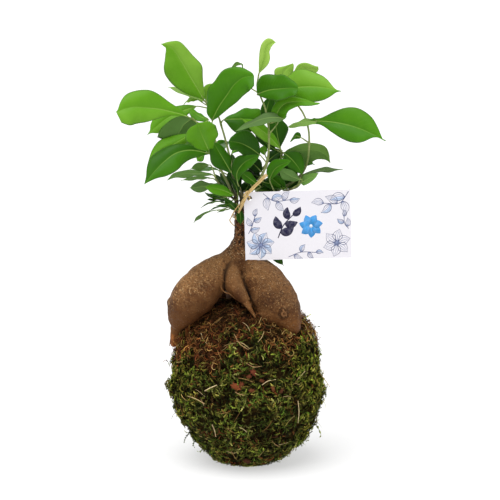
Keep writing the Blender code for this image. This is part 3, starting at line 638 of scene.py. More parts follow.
def bark_material():
    """Warm brown skin: grain, pale streaks across, pores, dark trunk, scar; painted shade, painted highlight.
    """
    w = Wires("bark")
    broad, grain, grit = w.noise(70, 4, 0.6), w.noise(480, 5, 0.72), w.noise(1500, 3, 0.7)
    top = w.fit(w.stored("up"), 0.0, 1.0)
    rugged = w.fit(w.stored("calm"), 1.0, 0.0, 0.3, 1.0)
    rings = w.maths("SINE", w.maths("MULTIPLY_ADD", w.stored("along"), 2.4, w.times(w.noise(150, 4), 34.0)))
    shown = w.times(w.maths("MULTIPLY_ADD", w.stored("wrinkled"), 0.55, 0.08), rugged)
    streaks = w.times(w.fit(rings, 0.3, 0.95), w.fit(w.noise(300, 3), 0.45, 0.56), shown)
    flecks = w.times(w.fit(w.cells(400), 0.3, 0.16), w.fit(w.noise(150, 2), 0.46, 0.54), rugged, 0.6)
    specks = w.times(w.fit(grit, 0.58, 0.68), w.fit(w.noise(160, 2), 0.4, 0.6, 0.15, 0.8), rugged)
    few = w.times(w.fit(w.cells(520), 0.2, 0.1), w.fit(w.noise(110, 2), 0.48, 0.6))
    many = w.times(w.fit(w.cells(640), 0.3, 0.2), w.fit(w.noise(210, 2), 0.42, 0.54))
    near_top = w.maths("MAXIMUM", w.fit(w.stored("rough"), 0.0, 0.35), w.times(top, 0.5))
    pores = w.maths("MAXIMUM", w.times(few, w.fit(near_top, 0.0, 0.5, 0.5, 1.0)), w.times(many, near_top))
    trunk = w.mix(w.fit(grain, 0.42, 0.58), (128, 84, 50), (26, 12, 5))
    ruddy = w.mix(w.fit(grain, 0.4, 0.65), (188, 118, 62), (112, 58, 24))
    gap = w.add("VectorMath", {0: w.place, 1: tuple(SCAR_POINT)}, operation="DISTANCE").outputs["Value"]
    scar = w.maths("MULTIPLY_ADD", w.maths("SUBTRACT", w.noise(420, 3), 0.5), 7 * MM, gap)
    groove = w.times(w.fit(scar, 2.4 * MM, 3.4 * MM), w.fit(scar, 5.0 * MM, 3.8 * MM))
    ridge = w.times(w.fit(scar, 0.8 * MM, 1.5 * MM), w.fit(scar, 3.0 * MM, 2.3 * MM))
    colour = w.coats(
        w.ramp(broad, (0.36, (84, 49, 23)), (0.5, (110, 70, 36)), (0.64, (135, 93, 53))),
        # painted highlight: faces that look up are lighter, as if lit from above
        (w.times(top, 0.6), (168, 123, 77)),
        (w.times(w.fit(grain, 0.5, 0.66, 0.0, 0.75), rugged), (54, 27, 10)),
        (w.times(w.fit(grain, 0.47, 0.33, 0.0, 0.5), rugged), (168, 118, 70)),
        (streaks, (216, 174, 120)),
        (flecks, (200, 154, 98)),
        (specks, (200, 154, 102)),
        (w.times(w.fit(grit, 0.43, 0.32, 0.0, 0.6), rugged), (42, 20, 8)),
        (w.stored("shade"), (44, 22, 8)),
        (w.times(w.stored("warm"), 0.5), (160, 102, 46)),
        (w.fit(w.stored("rough"), 0.1, 0.9), trunk),
        # painted shade: faces that look down are darker
        (w.times(w.fit(w.stored("up"), 0.3, -0.6), 0.55), (74, 38, 10)),
        (w.times(pores, 0.9), (226, 190, 142)),
        (w.times(w.stored("ruddy"), 0.85), ruddy),
        # painted shade in the creases
        (w.times(w.stored("crease_shade"), 0.85), (22, 11, 5)),
        (w.times(w.maths("MAXIMUM", groove, w.fit(scar, 1.0 * MM, 0.4 * MM)), 0.6), (46, 24, 10)),
        (w.times(ridge, 0.4), (168, 120, 78)),
    )
    height = w.maths("MULTIPLY_ADD", rings, 0.25, w.maths("MULTIPLY_ADD", grain, -2.2, grit))
    height = w.maths("ADD", height, w.maths("SUBTRACT", ridge, groove))
    w.bump(w.maths("ADD", height, pores), 1.0, 0.0007)
    return w.set(Base_Color=colour, Roughness=w.fit(grain, 0.3, 0.7, 0.6, 0.46), Specular_IOR_Level=0.14)


BARK = bark_material()
add_piece(make_roots(), BARK, ["caudex"])


# %% Root hairs
ROOT_HAIRS = (
    ((222.5, 280, -21, 0.35), (220.8, 284, -26, 0.35), (222, 289.5, -30, 0.38), (225.5, 292.5, -31, 0.38),
     (229.5, 294, -31, 0.4), (233, 297, -30, 0.36), (236, 299.5, -29, 0.3)),
    ((223, 284, -24, 0.2), (219.4, 281, -29, 0.25), (222.4, 279.6, -27, 0.22), (224.5, 282.5, -24, 0.2)),
    ((171, 336, -12, 0.5), (170.3, 341, -12, 0.4), (169.4, 346, -12, 0.25)),
    ((176, 330, -16, 0.45), (176.2, 336, -15, 0.3), (175, 341, -14, 0.2)),
    ((241.5, 295, -26, 4.6), (246.2, 302.5, -30, 3.0), (250.2, 309, -32.5, 1.9), (253.8, 315, -34.5, 1.3),
     (256.4, 320, -36, 0.8)),
)
HAIR_SIDES = 10
HAIR_SHARES = (("rough", 0.12), ("up", 0.2), ("calm", 1), ("shade", 0.1), ("warm", 0.2))


def make_hairs():
    """Thin roots and the middle root's tip: round tubes with the bark's numbers."""
    parts = [smooth_path(seen(hair), 24, np.array(hair)[:, 3] * MM) for hair in ROOT_HAIRS]
    paths, radii = (np.stack(part) for part in zip(*parts))
    rings = tube_points(paths, radii, HAIR_SIDES)
    values = {key: np.full(rings[..., 0].size, share) for key, share in HAIR_SHARES}
    return tube_mesh("root_hairs", rings, values)


add_piece(make_hairs(), BARK)

# %% [markdown]
# ## Where the leaves are
# A plain leaf is told by its seat on the twig, three points of its rib and how far each half reaches: across,
# in drawing steps, and in depth, in millimetres. Leaves that show well have their outlines listed. A tone is
# how fresh a half is, from 0, dark, to 1, yellow green, and it also carries painted shade: the lowest tones,
# on leaves deep in the crown, and the differences between halves. under is 1 where the underside faces
# the eye.

# %% Leafy stems
def leaf(seat, base, mid, tip, left, right, tone=0.42, peak=0.6, blunt=0.75, under=0):
    """One leaf. tone: one number, or one for each half; peak: where it is widest; blunt: less is rounder."""
    return {"seat": seat, "base": base, "mid": mid, "tip": tip, "left": left, "right": right, "peak": peak,
            "blunt": blunt, "tone": np.broadcast_to(tone, 2), "under": under}


WIDTH_PLACES = np.array([0.05, 0.15, 0.3, 0.45, 0.6, 0.75, 0.85, 0.92, 0.97, 0.99])
LOST_WIDTH = 0.4


def half_widths(rib, outline, ease):
    """How far the outline lies from the rib, square to it on its left and right, at WIDTH_PLACES.

    The square line from the rib, p + w n, is crossed with each edge of the outline, a + u (b - a), and the
    nearest crossing on each side counts. ease: how much a width takes the mean of its neighbours.
    """
    fine = curve(along_share(rib), rib, np.linspace(0, 1, 401))
    index = np.round(WIDTH_PLACES * 400).astype(int)
    run = unit(np.gradient(fine, axis=0))[index]
    n = np.stack([run[:, 1], -run[:, 0]], axis=1)[:, None]
    d = (np.roll(outline, -1, axis=0) - outline)[None]
    gap = outline[None] - fine[index][:, None]
    flat_cross = lambda first, second: first[..., 1] * second[..., 0] - first[..., 0] * second[..., 1]
    cross = flat_cross(n, d)
    cross = np.where(np.abs(cross) < 1e-9, 1e-9, cross)
    w, u = -flat_cross(d, gap) / cross, -flat_cross(n, gap) / cross
    sides = []
    for way in (1, -1):
        near = np.where((u >= -1e-6) & (u <= 1 + 1e-6) & (w * way > 0), w * way, np.inf).min(axis=1)
        near = np.where(np.isinf(near), LOST_WIDTH, near)
        near[1:-3] += ease * ((near[:-4] + near[2:-2]) / 2 - near[1:-3])
        sides.append(near)
    return sides


def traced(seat, rib, outline, depths, reach, tone, ease=0, under=0):
    """A leaf that shows well: columns and rows read off the photo along its rib and round its outline.

    depths: those of its base, middle and tip, joined by a parabola; reach: how far each half goes in depth.
    """
    rib, outline = (np.reshape(places, (-1, 2)).astype(float) for places in (rib, outline))
    share = along_share(rib)
    first, middle, last = depths
    bend = 2 * middle - (first + last) / 2
    depth = (1 - share) ** 2 * first + 2 * share * (1 - share) * bend + share ** 2 * last
    path = np.column_stack([rib, depth])
    widths = half_widths(rib, outline, ease)
    left, right = ((max(width), away) for width, away in zip(widths, reach))
    shape = leaf(seat, path[0], path[1], path[-1], left, right, tone, under=under)
    return {**shape, "rib": path, "widths": widths}


TWIGS = {
    "spray_left": ((-4, -1.4), (
        (((231, 190, -7), (222, 172, -12), (212, 156, -17), (204, 139, -20), (198, 123, -22)), 1.35, 0.8),
        (((236, 200.5, -1.6), (229, 195, -4), (222, 188, -6), (216, 179, -7)), 1.1, 0.7),
    )),
    "spray_mid_left": ((0, 0), (
        (((235, 184, -2), (231, 163, -4), (227, 146, -5), (222, 128, -6), (217, 114, -6), (210, 107, -5)),
         1.3, 0.7),
    )),
    "spray_centre": ((1.8, -3.6), (
        (((252, 190, -6), (262, 175, -9), (267, 162, -10), (269, 140, -11), (268, 122, -10), (265, 108, -9),
          (260, 95, -8), (257, 86, -7), (258.5, 76, -6)), 1.35, 0.6),
        (((243.2, 201, -3.6), (242, 196, -6), (240, 188, -9)), 0.9, 0.7),
    )),
    "spray_right": ((4.2, -0.6), (
        (((262, 198, 2), (284, 187, 4), (300, 176, 2), (306, 166, 0), (309, 147, -2), (308, 127, -3),
          (303, 113, -2), (296, 103, 0), (290, 94, 2)), 1.3, 0.65),
        (((262, 198, 2), (276, 195, -3), (286, 191, -5), (297, 187, -5)), 1, 0.7),
    )),
    "spray_inner_right": ((2.6, 3.4), (
        (((258, 194, 9), (270, 180, 8), (279, 166, 4), (282, 153, 0)), 1.2, 0.8),
    )),
    "spray_back_left": ((-3, 3), (
        (((233, 185, 12), (227, 167, 20), (221, 154, 26), (215, 140, 30), (211, 125, 33)), 1.2, 0.7),
    )),
    "spray_back_right": ((-0.2, 4.4), (
        (((247, 188, 16), (258, 174, 24), (269, 160, 30), (276, 142, 34), (279, 126, 36)), 1.2, 0.7),
    )),
}
LEAVES = {"spray_left": (
    traced((198, 123, -22), (189, 117.5, 181.4, 114.3, 174.3, 112.5, 160, 109.3, 145.7, 107.9, 131.4, 107.4,
      124.3, 108.9, 116.2, 112.1), (116.1, 112, 117.9, 109.4, 120.7, 100.7, 122.9, 97.1, 126.1, 93.6,
      130, 91.4, 135, 90, 140, 89.6, 144.3, 90.1, 155, 93.2, 160, 95.7, 182.1, 111.4, 189.3, 117.1,
      188.5, 118.2, 184, 116, 178, 114.9, 171, 115.1, 164.3, 115.9, 140, 123.9, 130.7, 124.4, 125.7, 123.6,
      122.1, 122.1, 119.6, 120, 116.8, 114.3), (-26, -32, -38), (-3, 5), (0.66, 0.6), ease=0.4),
    traced((199, 126, -21), (192, 118, 184, 124.5, 179, 133, 174, 144), (191, 117, 186, 116, 178.6, 116.4,
      173.6, 118, 169.3, 120.3, 165, 124, 161.2, 128.4, 159, 132.9, 158, 138, 163, 141.5, 170, 145, 174, 145,
      182, 146, 190, 140, 195, 130, 196, 123, 193, 118), (-18, -17, -15), (8, -6), (0.42, 0.38), ease=0.4,
      under=1),
    traced((203, 137, -20), (196, 131, 185, 137.5, 174, 144, 161, 150.5, 148, 163), (196, 130.6, 184.1, 134.6,
      174.8, 135.2, 165.5, 137.6, 159.9, 140.6, 155, 145.7, 152.1, 150.7, 150, 155, 147.8, 163, 155, 163,
      165, 158, 175, 152, 185, 145, 193, 137, 196.3, 131.5), (-20, -26, -34), (3, 6), (0.66, 0.6)),
    traced((212, 156, -17), (209.5, 153.8, 200, 151.3, 188, 150.2, 175, 153.6, 165, 161, 156, 170,
      144.4, 184.2), (209.5, 153, 191.8, 146, 179.4, 144.8, 170.1, 146, 159.3, 150.7, 152.5, 156, 149.3, 160,
      147.5, 164.3, 146.1, 172.9, 146.1, 176.4, 144.3, 184.2, 154.3, 179, 164.3, 176.5, 170, 174.3,
      174.3, 171.4, 182.9, 163.9, 187.1, 160.9, 195.7, 157.3, 204.3, 155, 209, 154.4), (-22, -36, -46),
      (-3, 5), (0.34, 0.24)),
    traced((213, 158, -16), (210, 153.2, 205.7, 143.6, 202.9, 137.1, 200, 130, 198, 122.8), (209, 153,
      205.7, 151.1, 198.6, 148.9, 188.2, 143.6, 186.1, 141.4, 185.3, 138.6, 185.6, 135, 186.8, 132.1,
      189.3, 128.9, 192.9, 126.1, 196.6, 124.3, 198, 122.6, 200, 121.2, 205.7, 120.3, 208.6, 120.6,
      213.6, 122.4, 215.6, 124.1, 216.8, 127.1, 217.1, 131.4, 215.9, 138.6, 212.4, 146.5, 210.3, 153.2),
      (-24, -38, -50), (-2, -4), 0.56, ease=0.5),
    leaf((210, 152, -18), (206, 153, -16), (201, 157, -17), (197, 161.5, -18), (4, -2), (4, 3), 0.5),
    traced((199, 125, -21), (208.6, 119.8, 199, 116, 190.5, 109.6), (208.8, 119, 192.9, 109.4, 190.5, 109.2,
      189, 113, 192, 118, 198, 121, 205, 121.4, 208.6, 120.4), (-14, -11, -8), (-3, 4), 0.5),
    traced((216, 179, -7), (213, 175, 200, 173.2, 186, 173.6, 176, 175.8, 167, 180.4), (213, 174.4,
      210, 172.9, 192.9, 169.3, 187.1, 169.2, 181.4, 169.8, 175.7, 171.6, 172.1, 174.2, 167, 180.4,
      172.9, 178.5, 190.7, 178, 196, 177, 213, 175.4), (-9, -14, -20), (5, -5), 0.4, under=1),
    leaf((216, 179, -7), (210.5, 165, -2), (202, 166, 0), (190, 169, 2), (4.5, 3), (4.5, -3), 0.5, under=1),
    leaf((219, 183, -6), (213, 178.5, 1), (200, 178, 3), (181, 180.5, 5), (2.4, 4), (2.8, -4), 0.4, under=1),
    leaf((222, 188, -6), (216, 184.5, -10), (203, 186.5, -14), (189, 188, -18), (5.2, -3), (5.5, 3), 0.2,
      under=1),
    traced((229, 195, -4), (234, 195.2, 221, 189.8, 205, 187), (234, 194.6, 225, 187, 220.7, 184.9,
      216.4, 183.8, 212.1, 184.2, 205.2, 187, 209.3, 190.8, 212.1, 192.6, 219.3, 195.2, 228.5, 196.2,
      233.5, 195.8), (-13, -20, -26), (-4, 4), (0.51, 0.45)),
    leaf((229, 195, -4), (228, 199, 2), (219, 197, 4), (205, 193.5, 6), (2.5, 4), (2.5, -4), 0.4),
    leaf((236, 203, -1.4), (226, 203, -2), (214, 202, -3), (200.5, 208, -4), (1.3, 4), (1.5, -4), 0.2,
      under=1),
    leaf((236, 204, -1.4), (222, 209.5, -8), (206, 213, -10), (193.5, 223, -13), (1.9, 4), (2.3, -4), 0.3,
      peak=0.72, under=1),
    leaf((236, 203.5, -1.4), (228, 209.5, 3), (224, 210, 5), (217, 212.5, 7), (1.3, 2), (1.3, -2), 0.35),
    leaf((236, 200.5, -1.6), (236, 197, -2), (227, 187, 0), (215, 177, 3), (3.4, 3), (3, -3), (0.02, 0.05)),
    leaf((229, 195, -4), (227, 197, -6), (215, 197.5, -7), (204.5, 192, -8), (2.2, 3), (2.4, -3),
      (0.12, 0.05)),
    leaf((236, 202, -1.5), (238, 211, -6), (231.5, 205, -8), (223, 197, -9), (4.2, 3), (3.8, -3), (0.2, 0.12),
      peak=0.5),
    leaf((222, 188, -6), (227, 190, -2), (221, 181, 2), (213, 173, 5), (2.6, 3), (2.4, -3), 0.06),
    leaf((236, 203, -1.4), (231, 207.5, 0), (221, 206, 2), (209, 211, 3), (1.2, 3), (1.4, -3), 0.16),
    leaf((236, 203, -1.4), (238.5, 207, -9), (240, 215, -11), (240.5, 225, -12), (4.2, 2), (4, -2),
      (0.12, 0.08)),
    leaf((236, 201, -1.5), (233, 200, -7), (226, 205, -9), (216, 205.5, -10), (2.2, 3), (2.4, -3),
      (0.1, 0.16)),
    leaf((229, 195, -4), (231, 192, -8), (226, 182, -7), (219, 172, -5), (3.4, 3), (3.6, -3), (0.04, 0.08)),
    leaf((236, 200.5, -1.6), (238, 197, -7), (236.5, 187, -9), (230, 177, -8), (3.6, 3), (3.6, -3),
      (0.06, 0.02)),
    leaf((236, 201, -1.5), (238, 198, 8), (234, 186, 12), (228, 170, 14), (7, 3), (7, -3), (0.02, 0.08)),
    leaf((236, 202, -1.5), (240, 200, 8), (246, 190, 12), (252, 178, 14), (6.5, 3), (6.5, -3), (0.02, 0.06)),
    leaf((236, 204, -1.4), (233, 203, 5), (222, 198, 8), (210, 196, 9), (4, 3), (4, -3), (0.04, 0.1)),
    leaf((229, 195, -4), (224, 197, -3), (214, 199.5, -5), (207, 199, -6), (1.6, 3), (1.8, -3), (0.14, 0.1)),
), "spray_mid_left": (
    traced((210, 107, -5), (204, 100, 197.9, 89.3, 189.3, 75, 181.4, 61.4, 172.1, 48.6, 166.5, 45,
      161.3, 43.9), (161.3, 43.9, 163.2, 43.2, 166.4, 43, 170.7, 40.4, 172.9, 40.1, 176.4, 41.1, 185, 47.1,
      197.9, 60, 200, 63.2, 201.4, 68.6, 203.7, 85, 204.9, 99.5, 203.2, 100, 198, 97.8, 187.1, 94.3,
      181.4, 90.4, 175.7, 85.7, 172.9, 84.3, 167.9, 79.6, 166.4, 77.1, 165.4, 73.6, 164.9, 69.3, 165, 57.1,
      165.7, 53.9, 167.1, 51.8, 166.8, 49.6, 165.4, 47.5, 162.9, 45.7), (-7, -12, -18), (-3, 3),
      (0.62, 0.76)),
    traced((217, 114, -6), (212, 120.5, 219, 107, 227.3, 95, 235, 84.2, 244, 77.5, 254, 76), (211.5, 120.5,
      208.2, 116.5, 207, 112.9, 206.2, 107.9, 208.7, 90, 210.9, 84.3, 212.9, 80.7, 215.7, 77.1, 226.4, 69.6,
      230, 68, 235.8, 66.9, 239.6, 67.3, 248.8, 70.4, 252.7, 73.1, 254.2, 75.8, 255, 78.8, 255, 81.9,
      254.2, 84.2, 252.3, 87.3, 241.9, 96.2, 238.1, 100.4, 224.2, 111.9, 219.6, 115, 216.5, 118.3,
      213, 120.8), (-16, -25, -34), (4, -8), (0.42, 0.38), ease=0.5),
    leaf((210, 107, -5), (206, 103, 0), (209, 93, 2), (217, 84, 5), (7.5, -2), (8, 3), 0.7),
    leaf((210, 107, -5), (203, 103, 2), (188, 93, 4), (167.5, 87, 6), (3, -6), (3, 5), 0.85, under=1),
    traced((211, 109, -5), (204, 101, 198, 98.2, 192, 97.8, 187.3, 100.4, 183.3, 105.6), (204, 100.4,
      198, 95.4, 193, 93.8, 190.8, 95, 183.5, 105.5, 189.3, 101.9, 192.9, 100.9, 197.1, 100.2, 203, 101.4),
      (5, 8, 10), (-5, 5), 0.9),
    traced((212, 110, -5), (196.5, 106.2, 180, 112, 165, 120, 155, 128, 147.4, 134.8), (196.5, 105.6,
      185, 105, 178.6, 105.4, 170, 107.5, 160, 112, 153.5, 117, 150.7, 122.5, 150.1, 126.4, 150.2, 130,
      147.4, 134.7, 150.7, 133.1, 157.9, 133, 164, 131.5, 172, 127, 180, 121, 196.8, 106.8), (-4, -6, -9),
      (-4, 6), (0.66, 0.61)),
    traced((221, 124, -6), (223.6, 119.8, 234, 119, 246, 119.4, 262, 122.5), (223.5, 119.4, 226.5, 117.1,
      239.6, 110.6, 243.5, 109, 248.1, 108, 252.7, 108, 256.5, 109, 260, 111.7, 262.6, 116, 262.5, 122,
      258, 127.5, 252, 131, 244, 133, 236, 133, 231.9, 130.6, 228.1, 124.2, 223.6, 120.2), (-4, -1, 6),
      (8, -6), (0.42, 0.3), ease=0.4),
    traced((230, 160, -4), (231, 172.5, 224, 160.5, 213.5, 143), (230, 173, 217.1, 167.3, 214.3, 165.6,
      212.1, 163, 210.7, 160, 209.6, 152, 210.5, 147, 213, 142.8, 216.4, 142.6, 219.5, 144.1, 228.1, 153,
      230.2, 156.4, 231.4, 172), (-20, -25, -27), (-5, 4), 0.23),
    leaf((233, 174, -3), (241, 190, 3), (235, 179, 7), (228.5, 166, 11), (5.5, -4), (6.5, 4), 0.02, peak=0.5),
    leaf((233, 174, -3), (235, 171, 0), (233.6, 162, 3), (231.5, 153, 6), (3, 3), (3, -3), 0.05),
), "spray_centre": (
    traced((260, 95, -8), (257.2, 94.4, 263.5, 91.9, 270.4, 90, 278.1, 89.2, 285.8, 88.5, 292, 88.2,
      298.2, 89), (256.4, 93.8, 255.8, 90.4, 256.5, 85.8, 258.1, 81.2, 260.4, 78.8, 266.5, 75.4, 270.4, 74.4,
      275, 74.4, 284.2, 75.8, 288.1, 77.3, 294.2, 81.2, 296.5, 83.5, 297.7, 85.8, 298.3, 89, 297.7, 91.4,
      296.5, 93.5, 294.5, 95, 278.1, 100.2, 272.7, 100, 268.8, 99.2, 258.1, 95.4), (-12, -20, -28), (3, -7),
      (0.36, 0.34)),
    traced((258.5, 76, -6), (258.9, 73.7, 262.3, 65, 264.5, 57, 265.4, 50, 267.2, 45.2, 270.8, 42.8,
      275.9, 42.3), (258.6, 73.5, 259.1, 55, 260.5, 46.5, 262.3, 42.7, 264.6, 40, 267.3, 38.4, 269.6, 38.1,
      271.9, 39, 275.8, 42.3, 273.1, 44.6, 270, 48.8, 268.7, 49.6, 270.1, 55, 270.1, 58.1, 268.1, 63.8,
      263.5, 69.6, 259.2, 73.5), (-6, -8, -12), (-3, -2), 0.98),
    traced((258, 94, -8), (246, 85, 236.5, 76, 232, 69.5, 235, 65.2, 243, 64.2), (246, 84.4, 235, 72.5,
      230.8, 70, 230.9, 66.5, 238.4, 60.4, 239, 62.2, 243, 63.7, 241.9, 65, 238, 65.4, 235.8, 66.6, 234, 68.8,
      236, 73.5, 246.4, 85), (2, 5, 7), (-5, 4), 0.7, under=1),
    traced((268, 122, -10), (266, 121, 266.5, 110, 270, 97), (265.4, 120.6, 261, 115, 260.4, 110, 261.8, 105,
      265, 100, 270, 96.6, 274.5, 101, 275.5, 108, 273, 115, 268, 120, 266.4, 121), (2, 5, 8), (-2, 2), 0.12),
    leaf((266, 166, -9.6), (262, 172, -5), (255, 165, 0), (246, 157, 4), (8, 3), (7.5, -3), 0, peak=0.5),
    leaf((262, 175, -9), (262, 178, -2), (254, 175, 5), (243, 171, 9), (6, 4), (6.5, -4), 0, peak=0.5),
    leaf((267, 164, -10), (267, 162.5, -2), (274, 156, 4), (283, 150, 9), (6, 5), (5.5, -5), 0.08, peak=0.5),
    leaf((259, 179, -8), (260, 181, -4), (271, 184, 0), (286, 185, 4), (5, 4), (4.5, -4), (0.06, 0.1)),
    leaf((252, 190, -6), (252, 187, -1), (247, 177, 5), (238, 168, 9), (6, 4), (6.5, -4), (0, 0.02),
      peak=0.5),
    leaf((254, 187, -7), (257, 192, 4), (268, 186, 8), (282, 176, 10), (7.5, 4), (7.5, -4), (0.12, 0.06)),
    leaf((262, 175, -9), (264, 177, 2), (262, 186, 6), (256, 197, 6), (6, 3), (6, -3), (0.2, 0.12)),
    leaf((254, 187, -7), (256, 190, -3), (266, 190.5, 0), (279, 190, 4), (4.6, 4), (3, -4), (0.08, 0.04)),
    traced((270, 134, -11), (278, 122.5, 277.5, 113, 284, 104.5, 298, 101.5, 320.2, 103.2), (277.5, 122.5,
      272.5, 120, 270.6, 113.5, 272.7, 106.3, 275, 102.9, 278.1, 100.4, 281.9, 98.4, 289.6, 96.2, 294.2, 96.3,
      305, 99, 312.7, 102, 320.2, 103, 318.8, 104.2, 311.2, 105.6, 295.8, 106, 291.9, 107.5, 287.3, 112,
      285.8, 115, 285.2, 118, 281, 121.5, 278.5, 122.8), (-16, -22, -30), (3, -6), (0.55, 0.49)),
    traced((268, 124, -10), (283.5, 118.5, 274, 117.6, 264, 118.7, 250, 124, 235, 131.6), (284, 118,
      282, 115.2, 278, 113, 274.8, 112.3, 268.8, 113, 258.8, 116.6, 248.1, 121.9, 243.5, 124.7, 235, 131.6,
      251.2, 126.7, 268.6, 122.2, 274, 121.2, 279, 121.6, 283.4, 119.4), (-22, -28, -34), (-7, 7),
      (0.22, 0.16), under=1),
    traced((267, 163, -10), (260, 155, 250, 148, 240, 143.2, 228.6, 141.2), (260.4, 154.5, 258.9, 143.6,
      257.3, 139.3, 255.2, 135.5, 252.1, 132.7, 248.6, 131.2, 244.3, 130.5, 240, 131.2, 236.4, 132.7,
      233.4, 134.8, 230, 138.2, 228.6, 141.2, 229.1, 144.6, 230.5, 148, 233, 149.8, 237.1, 149.4,
      243.5, 154.6, 250, 156, 259, 155.6), (-14, -20, -28), (-5, 3), (0.14, 0.16)),
    leaf((268, 160, -10), (265.5, 156, -4), (264, 151, -3), (264.5, 145, -2), (4.5, -1), (3.5, 1), 0.5),
    traced((240, 188, -9), (237.6, 183, 237.2, 173, 243, 164, 259.5, 155.4), (237.1, 183, 235.6, 179.3,
      231.9, 172.9, 231.4, 169.3, 232.8, 161.2, 234.3, 159, 237.1, 157, 241.4, 155.4, 252.9, 154.3,
      259.6, 155.2, 257.9, 158.6, 252.9, 164.3, 242.1, 173.4, 239.6, 178, 238.1, 183), (-14, -21, -28),
      (2, -6), (0.24, 0.3)),
    leaf((252, 190, -6), (261, 187, -9), (250, 179, -12), (240, 171.5, -15), (5, -2), (5, 2), 0.3,
      blunt=0.65),
), "spray_right": (
    traced((290, 94, 2), (286, 89.5, 300, 87.2, 312, 86.7, 328, 88.2, 341, 91.3), (286, 89, 286.6, 80,
      288.8, 74.5, 292, 72.2, 295.8, 71.2, 310.4, 70, 315, 71, 321.2, 74.8, 328.1, 80.8, 333, 87, 335.4, 89.2,
      341, 91.1, 335.8, 92.6, 330.4, 96.4, 322.7, 100.2, 313.5, 102, 308.8, 101.6, 300.4, 99, 290, 94.5,
      286, 91), (-1, -8, -14), (6, -5), (0.72, 0.52), ease=0.3),
    traced((290, 94, 2), (287, 92, 281.5, 78, 285, 69.5, 293.2, 63.6), (286, 91.5, 281, 86, 276.5, 80,
      273.3, 73.5, 274.6, 70, 276.2, 67.3, 278.1, 65.8, 282.7, 66.5, 293.2, 63.2, 293.9, 65.5, 293, 73,
      288.6, 86, 287.6, 91.5), (6, 10, 13), (-2, 2), 0.86),
    traced((291, 95, 2), (291, 92, 296.5, 77, 305, 69.5, 318.6, 69.3), (290.6, 91, 291, 84, 294.4, 70,
      296.5, 66, 298.1, 64.5, 300.4, 63.3, 302.7, 62.8, 308.8, 63.1, 314.2, 65.7, 318.6, 66.6, 318.9, 69,
      317.7, 71.5, 300, 83, 291.6, 92), (10, 15, 19), (-2, 3), 0.86),
    traced((308, 124, -3), (308, 121.6, 316, 121.2, 330, 121.8, 345, 124.3, 360, 128.8, 372, 134,
      385.6, 140.9), (308, 119, 316, 118.8, 324.1, 117.3, 333.2, 112.4, 337.7, 110.6, 346.1, 109.1,
      355.4, 109, 363.2, 110.6, 368.6, 113.4, 372.3, 117, 375, 120.6, 377.2, 125, 380.2, 133.6, 382.2, 137.2,
      385.4, 140.5, 377.7, 137.3, 374.1, 137.3, 365, 140.9, 360.5, 141.9, 355, 142.2, 349.5, 141.4, 345, 140,
      340.5, 137.5, 325, 127.2, 319.8, 124.4, 316, 123.2, 308, 124), (-6, -14, -22), (4, -5), (0.46, 0.4)),
    traced((308, 123, -3), (317, 121.2, 302, 122.8, 287.6, 127.1), (318, 120.5, 316, 118.6, 305, 119.2,
      293.5, 123.5, 287.6, 127, 290.4, 127.7, 294.2, 127.3, 314.2, 123.8, 317.4, 122.8), (-8, -12, -16),
      (-5, 5), 0.8, under=1),
    traced((309, 143, -2), (301, 137.6, 296.6, 136, 290, 142.2), (301.2, 137, 300.8, 133.8, 298.6, 132.4,
      296, 132.7, 294, 134.5, 290.4, 141, 289.8, 142.4, 291.6, 141.4, 294.1, 139, 300.6, 138.4),
      (-6, -8, -10), (-2, 2), 0.3),
    traced((276, 195, -3), (269.6, 179.4, 275, 169.5, 291, 161), (269.2, 179.2, 267.2, 176, 265.8, 170.5,
      267.4, 165.2, 272.6, 161, 278, 159.2, 284, 158.6, 288, 159.4, 291.2, 160.8, 288, 164, 280, 170.2,
      273.4, 177.2, 270.2, 179.6), (-11, -16, -22), (2, -6), 0.38),
    leaf((292, 189, -5), (303, 180, -10), (291, 176, -12), (278, 168, -15), (7, 4), (6, -4), 0.34, under=1),
    traced((297, 187, -5), (300.6, 183.2, 309, 178.6, 318.6, 173), (300.2, 182.6, 301, 178.6, 304.1, 175.2,
      309.5, 173.7, 318.6, 172.9, 315.9, 177, 313.2, 179.8, 308.6, 183, 304.1, 185.2, 301, 184.8),
      (-6, -9, -12), (3, -3), 0.54, under=1),
    leaf((284, 187, 4), (288, 190, 0), (279, 184, -2), (267, 173, -4), (7.5, 4), (7.5, -4), (0.3, 0.22)),
    leaf((284, 187, 4), (284, 189, 2), (293, 184, 6), (304, 176, 10), (5, 4), (5, -4), (0.1, 0.06)),
    leaf((286, 191, -5), (283, 190, -2), (277, 183, 1), (268, 176, 4), (5, 4), (5, -4), (0.1, 0.14)),
    leaf((300, 176, 2), (299, 177, 4), (293, 170, 8), (287, 160, 12), (5.5, -4), (5.5, 4), 0.1),
    traced((297, 187, -5), (303, 174.6, 314, 171, 327, 169.4, 343, 169.5), (303, 174, 315.9, 168.4,
      321.4, 167, 326.8, 166.4, 337.7, 168.9, 343, 169.4, 332.3, 172.4, 315, 173.9, 309, 175, 303.4, 175.2),
      (-2, -4, -7), (-5, 5), 0.18, under=1),
    leaf((262, 198, 2), (264, 240, 3), (273, 252, 0), (284, 266, -3), (5, 2), (5, -2), 0.08),
), "spray_inner_right": (
    leaf((282, 153, 0), (281, 150.5, -4), (263, 131.5, -6), (240, 118, -12), (7, -4), (6, 5), (0.7, 0.6),
      peak=0.5),
    leaf((282, 153, 0), (280, 152, 2), (268, 144.5, 4), (253, 131, 6), (4.5, 2), (4, -2), (0.14, 0.1)),
    leaf((282, 153, 0), (280.5, 148, 5), (276.5, 131, 6), (275, 112, 8), (8, -3), (11.5, 3), (0.2, 0.18),
      peak=0.5),
    traced((282, 154, 0), (284.5, 152.4, 297, 150.8, 310, 149.8, 321, 152, 327.5, 157, 330.3, 162.8),
      (284, 151.5, 294.1, 145.4, 299.5, 143.4, 305, 142.3, 315.9, 142.6, 321.4, 143.9, 325.2, 145.7,
      327.6, 148.4, 328.9, 151.8, 329.2, 156.4, 330.4, 162.7, 325.9, 160.2, 320.5, 159.7, 315.9, 160.1,
